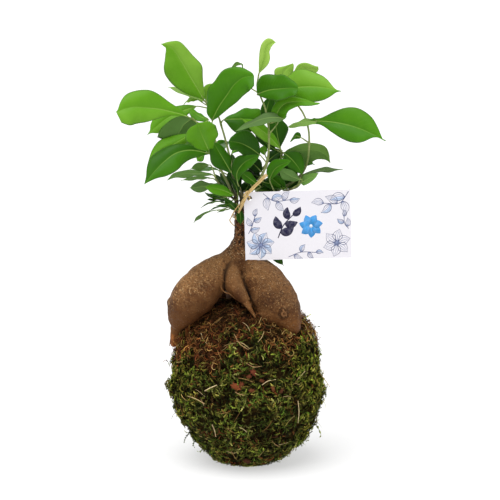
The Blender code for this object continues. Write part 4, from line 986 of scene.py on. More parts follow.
      312.3, 161.4, 309.5, 163.5, 304, 170.5, 298, 169, 292, 163, 284.6, 153), (7, 6, 3), (-6, 6),
      (0.67, 0.53), under=1),
    leaf((282, 155, 0), (282.5, 152, -4), (294, 162, -6), (302.5, 175, -8), (10, 3), (8, -3), 0.26, peak=0.5),
    leaf((281, 158, 2), (279, 162, 5), (285, 168, 9), (292, 178, 12), (7, 4), (6.5, -4), 0.08),
    leaf((276, 170, 6), (276, 171, 8), (281, 177, 11), (296, 181, 14), (6, 4), (6, -4), (0.1, 0.06)),
), "spray_back_left": (
    leaf((211, 125, 33), (213, 120, 35), (221, 101, 40), (233, 82, 44), (11, -4), (10, 5)),
    leaf((212, 129, 32), (206, 129, 36), (191, 125, 48), (172, 131, 62), (9, 9), (8, -7)),
    leaf((216, 142, 29), (210, 143, 33), (192, 142, 45), (173, 153, 58), (9, 8), (9, -8)),
    leaf((220, 152, 27), (219, 148, 34), (220, 145, 52), (223, 151, 74), (10, 2), (10, 4)),
    leaf((224, 160, 23), (230, 156, 30), (240, 145, 46), (249, 141, 64), (8, 7), (7, -7)),
    leaf((233, 185, 12), (228, 186, 18), (216, 184, 32), (203, 189, 47), (4, 9), (3, -9)),
    leaf((230, 176, 16), (222, 172, 22), (207, 168, 38), (192, 173, 54), (4, 9), (4, -9)),
), "spray_back_right": (
    leaf((279, 126, 36), (280, 121, 38), (283, 103, 42), (290, 84, 46), (10, -4), (10, 5)),
    leaf((271, 157, 30), (277, 158, 36), (295, 158, 48), (315, 165, 60), (6, 10), (6, -8), 0.2),
    leaf((277, 140, 34), (277, 136, 40), (277, 131, 58), (280, 138, 79), (9, 2), (10, 4)),
    leaf((273, 150, 32), (268, 144, 38), (261, 130, 50), (251, 123, 64), (7, 8), (7, -7)),
    leaf((263, 168, 26), (269, 168, 31), (282, 168, 42), (297, 176, 55), (8, 8), (7, -8)),
    leaf((256, 177, 22), (252, 172, 28), (247, 165, 42), (241, 167, 58), (8, 6), (8, -4)),
    leaf((250, 184, 18), (258, 186, 24), (272, 186, 38), (288, 186, 52), (3, 9), (3, -9)),
)}
print("leaves:", sum(len(leaves) for leaves in LEAVES.values()))

# %% [markdown]
# ## Leaf blades
# A fig leaf is a thin blade, broad past its middle, that runs out in a short drip tip. It folds softly along
# a raised rib, each half arches a little, and its margin waves. One number runs along the rib and one across,
# and the skin goes up one face and back down the other, so it is closed and its edge is thin.

# %% The blade's outline and rib
LEAF_ROWS = 46
LEAF_HALF = np.array([0, 0.035, 0.09, 0.2, 0.36, 0.54, 0.72, 0.88, 1.0])
LEAST_WIDTH = 0.03
DRIP_TIP_START = 0.88
DRIP_TIP_WIDTH = 0.17
BLADE_END = 0.95
LEAF_THICKNESS = 0.34 * MM
VEIN_PAIRS = 9
RIB_SOFTNESS = 0.05
RIB_HEIGHT = 0.34 * MM
HALF_ARCH = 0.11
HALF_RIPPLE = 0.08


def blade_width(place, peak, blunt):
    """Half width, 0 to 1, along the rib: sin(pi * (place / end)^power)^blunt, then a thin drip tip.

    The power puts the widest place at the peak. Towards the foot the exponent grows, so the blade runs in
    on nearly straight sides there.
    """
    power = math.log(0.5) / math.log(peak / BLADE_END)
    inside = np.clip(place / BLADE_END, 0, 1)
    exponent = blunt * blend(1.45, 1.0, place / peak)
    round_part = np.abs(np.sin(math.pi * inside ** power)) ** exponent * (place < BLADE_END)
    drip_tip = np.where(place > DRIP_TIP_START, DRIP_TIP_WIDTH * (1 - place) / (1 - DRIP_TIP_START), 0)
    return np.maximum(np.maximum(round_part, drip_tip), LEAST_WIDTH)


def traced_width(place, widths):
    """Half width as a share of the widest: a smooth curve through the traced widths and thin ends."""
    wide = max(widths)
    shares = np.array([LEAST_WIDTH, *(width / wide for width in widths), LEAST_WIDTH])[:, None]
    return np.maximum(curve(np.array([0.0, *WIDTH_PLACES, 1.0]), shares, place)[:, 0], LEAST_WIDTH)


def blade_frame(shape, place):
    """Rib points, half-width vectors to the left and right, and the face direction along the rib."""
    if "rib" in shape:
        points = seen(shape["rib"])
        rib = curve(along_share(points), points, place)
        run = np.gradient(rib, place, axis=0)
        shares = [traced_width(place, widths)[:, None] for widths in shape["widths"]]
    else:
        t = place[:, None]
        base, mid, tip = (seen(shape[key]) for key in ("base", "mid", "tip"))
        control = 2 * mid - (base + tip) / 2
        rib = (1 - t) ** 2 * base + 2 * t * (1 - t) * control + t ** 2 * tip
        run = 2 * (1 - t) * (control - base) + 2 * t * (tip - control)
        shares = [blade_width(place, shape["peak"], shape["blunt"])[:, None]] * 2
    across = unit(np.cross(run, DEPTH))
    left = (across * shape["left"][0] * STEP + DEPTH * shape["left"][1] * MM) * shares[0]
    right = (-across * shape["right"][0] * STEP + DEPTH * shape["right"][1] * MM) * shares[1]
    face = unit(np.cross(run, left - right))
    return rib, left, right, face * np.where(face[:, 1:2] > 0, -1, 1)


# %% The blade's skin
def blade(shape, number):
    """One closed leaf skin: points, faces, uv and the numbers that the leaf material reads.

    Each half is lifted along the face by an arch, 4 |s| (1 - |s|), by waves that grow towards the margin and
    by puckers between the veins. Both faces lie half the thickness off that middle, and the rib stands up.
    """
    draw, upside = np.random.default_rng(number), shape["under"]
    place = np.linspace(0, 1, LEAF_ROWS)
    place = 0.55 * place + 0.45 * (0.5 - 0.5 * np.cos(math.pi * place))
    rib, left, right, face = (vectors[:, None] for vectors in blade_frame(shape, place))
    rows = place[:, None]
    s = np.concatenate([-LEAF_HALF[:0:-1], LEAF_HALF])
    out, soft = np.abs(s), np.sqrt(s ** 2 + RIB_SOFTNESS ** 2)
    middle = rib + left * ((s + soft) / 2)[:, None] + right * ((-s + soft) / 2)[:, None]
    half_width = np.where(s > 0, np.linalg.norm(left, axis=2), np.linalg.norm(right, axis=2))
    arch = HALF_ARCH * half_width * 4 * out * (1 - out) * (1 - 2 * upside)
    turns = draw.uniform(1.6, 2.6)
    phase = draw.uniform(0, 2 * math.pi, 2)
    margin = np.sin(2 * math.pi * turns * rows + np.where(s > 0, phase[0], phase[1]))
    ripple = HALF_RIPPLE * half_width * out ** 2.5 * margin
    puckers = 0.006 * MM * np.sin(VEIN_PAIRS * 2 * math.pi * (rows - 0.25 * out))
    middle = middle + face * (arch + ripple + puckers * out * (1 - out) * 4)[..., None]
    middle = middle + (middle - rib) * (0.035 * margin[..., None] * (out ** 2)[:, None])
    thick = LEAF_THICKNESS / 2 * (0.25 + 0.75 * np.sqrt(1 - s ** 2))[None] * np.ones((LEAF_ROWS, 1))
    thick[:, [0, -1]] = 0
    rib_mm = s * half_width * 1000
    ridge = bell(rib_mm / 0.55) * (1.1 - rows) * RIB_HEIGHT
    front = middle + face * (thick + ridge * (upside - 0.35 * (1 - upside)))[..., None]
    back = middle - face * (thick + ridge * (1 - upside))[..., None]
    skin = np.concatenate([front, back[:, -2:0:-1]], axis=1)
    columns = np.concatenate([s, s[-2:0:-1]])
    side = np.concatenate([np.ones(len(s)), np.zeros(len(s) - 2)])
    side[[0, len(s) - 1]] = 0.5
    # the two halves' tones may differ: painted light and shade across the leaf
    left_tone, right_tone = shape["tone"]
    tone = right_tone + (left_tone - right_tone) * blend(0, 1, columns * 2 + 0.5)
    size = skin.shape[:2]
    values = {"tone": tone[None] + 0.07 * (rows - 0.5), "under": side if upside else 1 - side,
              "rib": np.concatenate([rib_mm, rib_mm[:, -2:0:-1]], axis=1), "along": rows}
    values = {key: np.broadcast_to(numbers, size).ravel() for key, numbers in values.items()}
    return skin.reshape(-1, 3), tube_faces(1, *size), grid_uv((columns + 1) / 2, rows, size), values


# %% [markdown]
# ## Twigs and leaf stalks
# The twigs stand in the callus on top of the trunk and bend outwards, pale green above and brown below. A
# leaf's stalk starts inside its twig and runs a short way into the blade's rib.

# %% Twig and stalk skins
TWIG_SIDES = 10
STALK_SIDES = 8
STALK_RADIUS = 0.56 * MM
TWIG_SCALE = 0.94
TWIG_RISE = 5 * MM
TRUNK_TOP_GAP = 0.3 * MM


def nearest_on(lines, place):
    """The point of several lines that lies nearest to a place."""
    starts = np.concatenate([line[:-1] for line in lines])
    runs = np.concatenate([np.diff(line, axis=0) for line in lines])
    share = np.clip(((place - starts) * runs).sum(1) / (runs ** 2).sum(1), 0, 1)
    points = starts + share[:, None] * runs
    return points[np.linalg.norm(points - place, axis=1).argmin()]


def twig_lines(foot, twigs):
    """Smooth paths and radii of a stem's twigs, from inside the trunk's top."""
    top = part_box("caudex")[1][2] + TRUNK_TOP_GAP
    axis = seen(ROOT_SPINES["trunk"][0][:3])
    foot = np.array([axis[0] + foot[0] * MM, axis[1] + foot[1] * MM, top])
    lines = []
    for number, (places, thick, thin) in enumerate(twigs):
        points = seen(places)
        if number == 0:
            rise = np.array([0, 0, TWIG_RISE])
            points = np.concatenate([[foot - rise * 1.2, foot, foot + rise], points])
        else:
            points[0] = nearest_on([path for path, _ in lines], points[0])
        count = 8 + int(travelled(points)[-1] / (2.2 * MM))
        lines.append(smooth_path(points, count, np.linspace(thick, thin, len(points)) * TWIG_SCALE * MM))
    return lines


def stalk(shape, seat):
    """A leaf stalk's path, from the twig's core along a bend into the blade's rib."""
    base, mid = seen(shape["base"]), seen(shape["mid"])
    far = base + unit(mid - base) * 4 * MM
    return smooth_path([seat, seat * 0.35 + base * 0.65 + (base - far) * 0.12, base, far], 9)


def join_skins(skins):
    """One set of arrays from several skins: points, faces by number of corners, uv and values."""
    points, faces, uvs, values = zip(*skins)
    joined = {}
    for start, arrays in zip(np.cumsum([0, *map(len, points)]), faces):
        for array in arrays:
            joined.setdefault(array.shape[1], []).append(array + start)
    values = {key: np.concatenate([numbers[key] for numbers in values]) for key in values[0]}
    faces = [np.concatenate(arrays) for arrays in joined.values()]
    return np.concatenate(points), faces, np.concatenate(uvs), values


def stem_skin(path, radii, sides, green):
    """A twig's or stalk's skin. green says how green it is at each ring, from 0, brown, to 1."""
    rings = tube_points(path[None], radii[None], sides)
    count = len(path)
    values = {"green": np.repeat(green, sides), "along": np.repeat(travelled(path) * 1000, sides)}
    uv = grid_uv(np.arange(sides) / sides, np.linspace(0, 1, count)[:, None], (count, sides))
    return rings.reshape(-1, 3), tube_faces(1, count, sides), uv, values


def stems_of(foot, twigs, leaves):
    """All twigs and stalks of one stem. A twig is thicker by 28% where a leaf is seated."""
    lines = twig_lines(foot, twigs)
    seats = np.array([nearest_on([path for path, _ in lines], seen(shape["seat"])) for shape in leaves])
    skins = []
    for path, radii in lines:
        reach = np.linalg.norm(path[:, None] - seats[None], axis=2).min(axis=1)
        radii = radii * (1 + 0.28 * bell(reach / (1.6 * MM)))
        skins.append(stem_skin(path, radii, TWIG_SIDES, blend(0, 1, (path[:, 2] - 212 * MM) / (45 * MM))))
    for shape, seat in zip(leaves, seats):
        path = stalk(shape, seat)
        radii = STALK_RADIUS * np.linspace(1.15, 0.7, len(path))
        skins.append(stem_skin(path, radii, STALK_SIDES, np.ones(len(path))))
    return join_skins(skins)


# %% Leaf and twig materials
def leaf_material():
    """Green blade: paler rib, faint side veins, mottling and a dull grey green underside."""
    w = Wires("leaf_blade")
    under = w.stored("under")
    tone = w.maths("ADD", w.stored("tone"), w.maths("MULTIPLY_ADD", w.noise(60, 3), 0.16, -0.08))
    surface = w.add("SeparateXYZ", {0: w.add("UVMap", {}).outputs["UV"]}).outputs
    from_rib = w.maths("ABSOLUTE", w.maths("SUBTRACT", surface["X"], 0.5))
    lines = w.maths("SINE", w.times(w.maths("SUBTRACT", surface["Y"], w.times(from_rib, 0.42)), 92.0))
    veins = w.times(w.fit(lines, 0.7, 1.0, 0.0, 0.03), w.fit(w.noise(70, 2), 0.45, 0.7))
    rib = w.fit(w.maths("ABSOLUTE", w.stored("rib")), 0.6, 0.1)
    fade = w.fit(w.stored("along"), 1.0, 0.1, 0.08, 0.6)
    # the near-black green at low tones is painted shade on leaves deep in the crown
    greens = w.ramp(tone, (0.0, (18, 50, 2)), (0.2, (40, 86, 6)), (0.42, (63, 119, 14)),
                    (0.62, (91, 147, 24)), (0.8, (123, 169, 56)), (1.0, (162, 200, 88)))
    colour = w.coats(greens, (veins, (160, 196, 96)), (w.times(rib, fade), (150, 184, 84)))
    colour = w.mix(w.times(under, 0.85), colour, w.mix(0.5, colour, (124, 150, 96)))
    w.bump(w.maths("ADD", w.times(veins, 1.5), w.noise(300, 2)), 0.2, 0.0003)
    rough = w.maths("MULTIPLY_ADD", under, 0.22, w.fit(w.noise(150, 2), 0.3, 0.7, 0.36, 0.46))
    return w.set(Base_Color=colour, Roughness=rough, Specular_IOR_Level=0.1)


def twig_material():
    """Young stem: tan green with brown below, fine lengthwise streaks and ring scars."""
    w = Wires("young_stem")
    streaks = w.noise(260, 3, stretch=(1.0, 1.0, 0.2))
    green = w.mix(w.fit(streaks, 0.35, 0.65), (108, 130, 54), (152, 164, 98))
    brown = w.mix(w.fit(streaks, 0.35, 0.65), (40, 36, 16), (78, 68, 36))
    colour = w.mix(w.stored("green"), brown, green)
    scars = w.fit(w.maths("SINE", w.times(w.stored("along"), 1.3)), 0.93, 1.0, 0.0, 0.5)
    colour = w.mix(scars, colour, (92, 84, 44))
    w.bump(w.maths("ADD", streaks, scars), 0.4, 0.0003)
    return w.set(Base_Color=colour, Roughness=0.55)


LEAF = leaf_material()
TWIG = twig_material()
for seed, (name, (foot, twigs)) in enumerate(TWIGS.items()):
    blades = join_skins([blade(shape, 100 * seed + k) for k, shape in enumerate(LEAVES[name])])
    add_piece(make_mesh(name + "_leaves", *blades), LEAF, [name])
    stems = stems_of(foot, twigs, LEAVES[name])
    add_piece(make_mesh(name + "_twigs", *stems), TWIG)

# %% [markdown]
# ## The card
# The card's solid is right as it is and gets paper. Its print is plain plant ornament in slate blue: thin
# ribbons that lie on the face, with pale washes under them.

# %% Paper
CARD_MIDDLE = (297.8, 225.0, -16.6)
CARD_TURN = math.radians(1.6)
CARD_THICKNESS = 0.6 * MM
CARD_SIZE = np.array([85.0, 55.0])
INK_HEIGHT = 0.04 * MM


def card_points(places, lift):
    """Points on the card's face for (x, y) in millimetres from its middle, lifted off the paper."""
    places = np.asarray(places, float) * MM
    x, y = places[..., 0], places[..., 1]
    right = x * math.cos(CARD_TURN) - y * math.sin(CARD_TURN)
    up = x * math.sin(CARD_TURN) + y * math.cos(CARD_TURN)
    away = np.full_like(x, -CARD_THICKNESS / 2) - lift
    return seen(CARD_MIDDLE) + np.stack([right, away, up], axis=-1)


def paper_material():
    """Coated paper: cool white, fine fibres and a slightly uneven sheen."""
    w = Wires("card_paper")
    fibres = w.noise(900, 4)
    clouds = w.noise(25, 2)
    colour = w.mix(w.fit(fibres, 0.3, 0.7, 0.0, 0.35), (229, 226, 231), (221, 218, 225))
    colour = w.mix(w.fit(clouds, 0.35, 0.7, 0.0, 0.35), colour, (223, 221, 229))
    w.bump(fibres, 0.15, 0.0001)
    return w.set(Base_Color=colour, Roughness=w.fit(fibres, 0.3, 0.7, 0.5, 0.62))


dress_solid("card", paper_material())


# %% Ink shapes
STROKE_STEPS = 20
LINE = 0.24
SLATE = rgb(70, 80, 118)
PALE_SLATE = rgb(120, 132, 168)
WASH = rgb(186, 202, 226)
NAVY = rgb(26, 24, 60)
SKY_BLUE = rgb(62, 148, 214)


def drawn_leaf(base, tip, width, bend, fill=WASH, lines=True):
    """A leaf in ink: filled, with both edges and a midrib that bends aside by a share of its length.

    Each shape is a path (x, y) in millimetres, its half width along it, a colour and a height.
    """
    base, tip = np.array(base, float), np.array(tip, float)
    aside = np.array([base[1] - tip[1], tip[0] - base[0]])
    rib = smooth_path([base, (base + tip) / 2 + aside * bend, tip], STROKE_STEPS)
    share = np.linspace(0, 1, STROKE_STEPS)
    half = width * np.sin(math.pi * share ** 0.8) ** (1.15 if lines else 0.85) + 0.02
    run = unit(np.gradient(rib, axis=0))
    across = np.stack([-run[:, 1], run[:, 0]], axis=1)
    thin = LINE * (1.15 - 0.8 * share)
    shapes = [] if fill is None else [(rib, half, fill, 0.5)]
    if lines and fill is not None:
        shapes = [(rib + across * (half * 0.5)[:, None], half * 0.5, fill, 0.5)]
    if lines:
        shapes += [(rib + across * (half * way)[:, None], thin, SLATE, 1.0) for way in (1, -1)]
        shapes += [(rib + across * (half * way)[:, None], thin * (share < 0.8) * 0.7 + 0.01, PALE_SLATE, 0.9)
                   for way in (0.45, 0, -0.45)]
    return shapes


def drawn_stem(points, width=LINE, colour=SLATE):
    """A plain line through points."""
    return [(smooth_path(points, STROKE_STEPS), np.full(STROKE_STEPS, width), colour, 0.8)]


def drawn_blossom(middle, radius, petals, turn, fill=None, heart=PALE_SLATE, lines=True):
    """Petals set round a middle, each a leaf, with a small round heart."""
    shapes = []
    for k in range(petals):
        angle = turn + k * 2 * math.pi / petals
        way = np.array([math.cos(angle), math.sin(angle)])
        petal = middle + way * radius
        shapes += drawn_leaf(middle + way * radius * 0.12, petal, radius * 0.34, 0.05, fill, lines)
    share = np.linspace(-1, 1, STROKE_STEPS)
    path = middle + np.array([radius * 0.13, 0]) * share[:, None]
    return shapes + [(path, radius * 0.13 * np.sqrt(1.001 - share ** 2), heart, 1.2)]


def drawn_branch(points, leaves, length, width, fills, lines=True):
    """A stem with leaves that stand off it to the left and right in turn."""
    stem = smooth_path(points, STROKE_STEPS)
    shapes = drawn_stem(points, colour=SLATE if lines else NAVY, width=LINE if lines else 0.4)
    for k, place in enumerate(np.linspace(0.22, 1, leaves)):
        index = int(place * (STROKE_STEPS - 1))
        run = unit(stem[index] - stem[max(index - 2, 0)])
        swing = 0.0 if k == leaves - 1 else (0.85 if k % 2 else -0.85)
        way = np.array([run[0] * math.cos(swing) - run[1] * math.sin(swing),
                        run[0] * math.sin(swing) + run[1] * math.cos(swing)])
        size = 1.0 - 0.25 * place
        shapes += drawn_leaf(stem[index], stem[index] + way * length * size, width * size,
                             0.12 if k % 2 else -0.12, fills[k % len(fills)], lines)
    return shapes


# %% The card's ornament
ORNAMENT = (
    drawn_branch(((-27, 26), (-19, 20), (-6, 20.5)), 5, 11.0, 2.9, (None, WASH, None))
    + drawn_branch(((41, 26), (34, 17), (21, 17)), 5, 13.0, 3.5, (WASH, None, None))
    + drawn_blossom(np.array([30.8, -15.2]), 11.3, 6, 0.3)
    + drawn_branch(((40.5, -4), (37.5, 0), (37, 6)), 3, 7.5, 2.1, (None, WASH))
    + drawn_blossom(np.array([-30.2, -15.5]), 11.3, 7, 0.2, fill=WASH)
    + drawn_branch(((-39.5, -6), (-37, -1), (-34, 8)), 4, 8.5, 2.3, (WASH, None))
    + drawn_branch(((-8, -25.5), (2, -22), (14, -22.5)), 4, 8.0, 2.1, (None, WASH))
    + drawn_branch(((-16, -10), (-11.5, 0), (-4, 8)), 5, 12.5, 3.7, (NAVY,), lines=False)
    + drawn_blossom(np.array([10.5, -1.0]), 9.6, 7, 0.2, fill=SKY_BLUE, heart=rgb(222, 232, 246), lines=False)
)


def make_print(shapes):
    """All ink as thin closed strips: four corners at each step, two on the paper and two above."""
    paths = np.stack([shape[0] for shape in shapes])
    halves = np.stack([shape[1] for shape in shapes])[..., None]
    layer = np.arange(len(shapes)) % 17 * 0.04
    heights = (np.array([shape[3] for shape in shapes]) + layer)[:, None] * INK_HEIGHT
    run = unit(np.gradient(paths, axis=1))
    across = np.stack([-run[..., 1], run[..., 0]], axis=-1) * halves
    edge = CARD_SIZE / 2 - 0.2
    low, high = np.zeros(paths.shape[:2]), np.broadcast_to(heights, paths.shape[:2])
    corners = [card_points(np.clip(paths + across * way, -edge, edge), lift)
               for way, lift in ((-1, low), (-1, high), (1, high), (1, low))]
    tint = np.repeat([shape[2] for shape in shapes], STROKE_STEPS * 4, axis=0)
    return tube_mesh("card_ornament", np.stack(corners, axis=2), {"tint": tint})


def ink_material():
    """Ink that soaks unevenly into the paper."""
    w = Wires("printed_ink")
    soak = w.noise(350, 3)
    colour = w.mix(w.fit(soak, 0.35, 0.7, 0.0, 0.1), w.stored("tint", "Color"), (236, 236, 246))
    return w.set(Base_Color=colour, Roughness=w.fit(soak, 0.3, 0.7, 0.5, 0.65), Specular_IOR_Level=0.2)


add_piece(make_print(ORNAMENT), ink_material())

# %% [markdown]
# ## The raffia tie
# Raffia is a strip of palm leaf that creases along its length as it dries. Flat, dented ribbons run round
# the trunk, up through the card's hole, over in a knot and out as a stiff tail.

# %% Ribbons along the tie
STRANDS = {
    "tail": ((243, 202, -19.4, 1.0), (245, 198, -20.6, 1.1), (247.8, 194.4, -21.3, 1.0),
             (252, 190, -21.3, 0.85), (259.4, 182.8, -21.4, 0.85), (267.4, 175, -21.8, 1.0)),
    "second": ((243.5, 200, -18.8, 0.6), (247, 193.8, -20.2, 0.75), (251, 188.8, -20.7, 0.75),
               (258.3, 181.6, -20.8, 0.7), (266, 173.8, -21.3, 0.75)),
    "thick": ((247.5, 193.5, -20, 0.8), (245.4, 198, -20.9, 1.15), (242.4, 204, -19.8, 1.45),
              (239.6, 210.5, -14, 1.2), (237, 216.5, -8.2, 0.9), (235.6, 219.5, -6, 0.7)),
    "through": ((246.2, 196.2, -20.6, 0.8), (248.4, 196.6, -20.6, 0.8), (249.6, 198.4, -16.6, 0.8),
                (247, 201.5, -13.5, 0.8), (241, 208, -9.5, 0.8), (237, 217, -6.6, 0.7)),
    "loop": ((245, 196.5, -20.8, 0.65), (240, 204, -14.5, 0.6), (234.5, 211, -10, 0.55),
             (231, 217.5, -8.6, 0.5), (229.8, 220.2, -8.2, 0.5), (231.5, 223.2, -8, 0.5),
             (234.6, 226, -7.6, 0.45)),
    "knot_a": ((243.4, 197, -20.2, 0.6), (245, 193.6, -21.8, 0.8), (247.6, 191.6, -22.2, 0.9),
               (249.4, 192.2, -21.6, 0.8), (246.8, 195.6, -20.8, 0.6)),
    "knot_b": ((242.2, 199.8, -20.4, 0.6), (243.8, 200.6, -21.8, 0.7), (246, 198.4, -22.2, 0.7),
               (246.6, 195, -21.8, 0.6), (245.4, 192.6, -20.4, 0.5)),
}
STRAND_SCALE = 0.8
RIBBON_SIDES = 8
RIBBON_FLATNESS = 0.34
TIE_RING = (241, 219, 0)
TIE_RING_RADIUS = 6.6 * MM
TIE_RING_LEAN = math.radians(-24)
TIE_TURNS = (0.0, 1.1, -1.2)
TIE_TURN_WIDTH = 0.65 * MM


def ribbon(path, radii, seed, facing=(0.0, -1.0, 0.0)):
    """A dented flat strip along a path: an oval ring whose radius wavers around and along it."""
    draw = np.random.default_rng(seed)
    rings = tube_points(path[None], radii[None], RIBBON_SIDES, RIBBON_FLATNESS, np.asarray(facing))[0]
    around = np.arange(RIBBON_SIDES) / RIBBON_SIDES
    place = np.linspace(0, 1, len(path))[:, None]
    turn, beat = draw.uniform(0, 6, 2)
    dents = 1 + 0.2 * np.sin(4 * math.pi * around + 9 * place + turn) * np.sin(14 * place + beat)
    rings = path[:, None] + (rings - path[:, None]) * dents[..., None]
    size = rings.shape[:2]
    tint = np.full(size, draw.uniform(0, 1)).ravel()
    uv = grid_uv(around, travelled(path)[:, None] * 100, size)
    return rings.reshape(-1, 3), tube_faces(1, *size), uv, {"tint": tint}


def ring_path(lift, radius, count=40):
    """One turn round the trunk, leaning like the tie; it ends a little past its start."""
    turn = np.linspace(0, 2 * math.pi * 1.02, count)
    x, y = radius * np.cos(turn), radius * np.sin(turn)
    height = x * math.tan(TIE_RING_LEAN) + lift + 0.4 * MM * np.sin(2 * turn)
    return seen(TIE_RING) + np.stack([x, y, height], axis=1)


def make_tie():
    """All strands and the turns round the trunk, as one skin."""
    skins = []
    for seed, spine in enumerate(STRANDS.values()):
        places = np.asarray(spine, float)
        path, radii = smooth_path(seen(places), 8 * len(spine), places[:, 3] * STRAND_SCALE * MM)
        skins.append(ribbon(path, radii, seed))
    for seed, lift in enumerate(TIE_TURNS):
        path = ring_path(lift * MM, TIE_RING_RADIUS + 0.15 * MM * seed)
        skins.append(ribbon(path, np.full(len(path), TIE_TURN_WIDTH), 20 + seed, (0.0, 0.0, 1.0)))
    return make_mesh("raffia", *join_skins(skins))


def raffia_material():
    """Straw: pale gold with long darker fibres and a soft gloss."""
    w = Wires("raffia")
    surface = w.add("UVMap", {}).outputs["UV"]
    fibres = w.noise(14, 3, stretch=(2.2, 0.25, 1.0), where=surface)
    colour = w.ramp(fibres, (0.3, (140, 106, 58)), (0.45, (204, 172, 108)), (0.7, (236, 212, 154)))
    colour = w.mix(w.times(w.stored("tint"), 0.3), colour, (168, 128, 82))
    w.bump(fibres, 0.6, 0.0004)
    return w.set(Base_Color=colour, Roughness=0.5, Specular_IOR_Level=0.3)


add_piece(make_tie(), raffia_material(), ["raffia_tie"])

# %% [markdown]
# ## The moss ball
# The ball is a turned profile with low lumps, nearly black: dark soil, made darker as painted shade between
# the shoots. The moss is thousands of short curled shoots, flat strips with teeth along both edges; painted
# shade darkens the lower ones and painted light brightens the upper ones. Brown, dry fibre takes over towards
# the top.

# %% The ball's form
BALL_PROFILE = np.array((
    (0, 16), (1, 21.5), (5.5, 30), (12, 36.5), (18, 41.5), (27, 48), (36, 53.8), (45, 58), (54, 60.2),
    (63, 60.8), (73, 59.6), (84, 58.2), (96, 56.5), (105, 53.8), (113, 49.8), (120, 44), (126, 36.5),
    (131, 26), (134.5, 13), (135.5, 0),
)) * MM
PROFILE_STEPS = 240


def fine_profile():
    """Heights, radii and outward slopes of the ball's side, read at even distances from foot to top."""
    path = smooth_path(BALL_PROFILE, PROFILE_STEPS)
    run = unit(np.gradient(path, axis=0))
    return path[:, 0], np.maximum(path[:, 1], 0), run[:, 0], -run[:, 1]


HEIGHTS, RADII, OUT_FLAT, OUT_UP = fine_profile()


def ball_points(place, turn):
    """Surface points and outward directions for a place along the profile, 0 to 1, and a turn round it.

    The belly sits about 1 mm to the right.
    """
    index, steps = place * (PROFILE_STEPS - 1), np.arange(PROFILE_STEPS)
    height, radius, flat, up = (np.interp(index, steps, row) for row in (HEIGHTS, RADII, OUT_FLAT, OUT_UP))
    lean = 1.4 * MM * blend(1, 0, (height - 40 * MM) / (50 * MM))
    points = np.stack([radius * np.cos(turn) + lean, radius * np.sin(turn), height], axis=-1)
    return points, unit(np.stack([flat * np.cos(turn), flat * np.sin(turn), up], axis=-1))


def tufts(points):
    """Smooth noise of two sizes, in millimetres: high on a tuft, low between tufts."""
    return waves(points, 15 * MM, 31) * 1.6 + waves(points, 6 * MM, 32) * 1.3


LOOSE_TUFTS = ((-62, 65, 3.5), (57, 33, 3.0), (44, 19, 3.5), (-52, 29, 1.5))


def lumps(points):
    """Height of the tufts in metres: nothing at the foot; four tufts stand out at the sides."""
    x, z = points[:, 0] / MM, points[:, 2] / MM
    loose = sum(high * np.exp(-((x - side) ** 2 + (z - rise) ** 2) / 30) for side, rise, high in LOOSE_TUFTS)
    return (tufts(points) * np.clip(points[:, 2] / (16 * MM), 0, 1) + loose) * MM


BED_DEPTH = 1.5 * MM


def make_bed(rows=150, columns=220):
    """The dark bed: the profile turned round, sunk a little, raised by the lumps and closed at both poles."""
    turn = np.tile(np.arange(columns) * 2 * math.pi / columns, rows - 1)
    points, outward = ball_points(np.repeat(np.linspace(0, 1, rows)[:-1], columns), turn)
    sunk = BED_DEPTH * np.clip(points[:, 2] / (6 * MM), 0.1, 1)
    points = points + outward * (lumps(points) + waves(points, 3 * MM, 33) * 0.5 * MM - sunk)[:, None]
    points[:, 2] = np.maximum(points[:, 2], 0.2 * MM)
    top = np.array([[0, 0, HEIGHTS[-1] - BED_DEPTH]])
    bottom = np.array([[0, 0, 0.2 * MM]])
    index = np.arange((rows - 1) * columns).reshape(rows - 1, columns)
    turned = np.roll(index, -1, axis=1)
    quads = np.stack([index[:-1], turned[:-1], turned[1:], index[1:]], axis=-1).reshape(-1, 4)
    poles = np.concatenate([
        np.stack([index[-1], turned[-1], np.full(columns, index.size)], axis=-1),
        np.stack([turned[0], index[0], np.full(columns, index.size + 1)], axis=-1),
    ])
    return make_mesh("moss_bed", np.concatenate([points, top, bottom]), [quads, poles])


def bed_material():
    """Packed soil and old brown stems: dark, made nearly black as painted shade, with brown and olive crumbs.
    """
    w = Wires("dark_bed")
    crumbs = w.noise(330, 5, 0.65)
    colour = w.ramp(crumbs, (0.3, (16, 11, 6)), (0.5, (38, 28, 14)), (0.7, (62, 50, 22)))
    w.bump(crumbs, 1.0, 0.0012)
    return w.set(Base_Color=colour, Roughness=0.95, Specular_IOR_Level=0.0)


BED = bed_material()
add_piece(make_bed(), BED, ["moss_wrap"])
dress_solid("soil_ball", BED)


# %% Where shoots grow and how they are coloured
def scatter(count, seed, low=0.0, high=1.0):
    """Places spread evenly over the ball: rings are drawn in proportion to their radius."""
    draw = np.random.default_rng(seed)
    share = np.cumsum(RADII)
    lowest, highest = np.interp([low, high], np.linspace(0, 1, PROFILE_STEPS), share)
    place = np.interp(draw.uniform(lowest, highest, count), share, np.linspace(0, 1, PROFILE_STEPS))
    turn = draw.uniform(0, 2 * math.pi, count)
    points, outward = ball_points(place, turn)
    points = points + outward * lumps(points)[:, None]
    clear = root_distance(points + outward * MM) > 0.3 * MM
    return points[clear], outward[clear], draw


DRY_LINE_X = (-60, -30, -20, -12, 8, 16, 34, 42, 60)
DRY_LINE_Z = (92, 94, 98, 119, 121, 102, 96, 112, 112)


def dryness(points):
    """How dry the moss is, 0 to 1: it rises over a line across the front that lies 100 mm up behind.

    The line wavers, so dry and fresh moss meet in patches.
    """
    x, height = points[:, 0] / MM, points[:, 2] / MM
    front = blend(1, 0, points[:, 1] / (20 * MM) + 0.7)
    line = 100 + front * (np.interp(x, DRY_LINE_X, DRY_LINE_Z) - 100)
    patches = 5 * waves(points, 20 * MM, 41) + 6 * waves(points, 7 * MM, 42)
    return blend(0, 1, (height - line + patches) / 12 + 0.5)


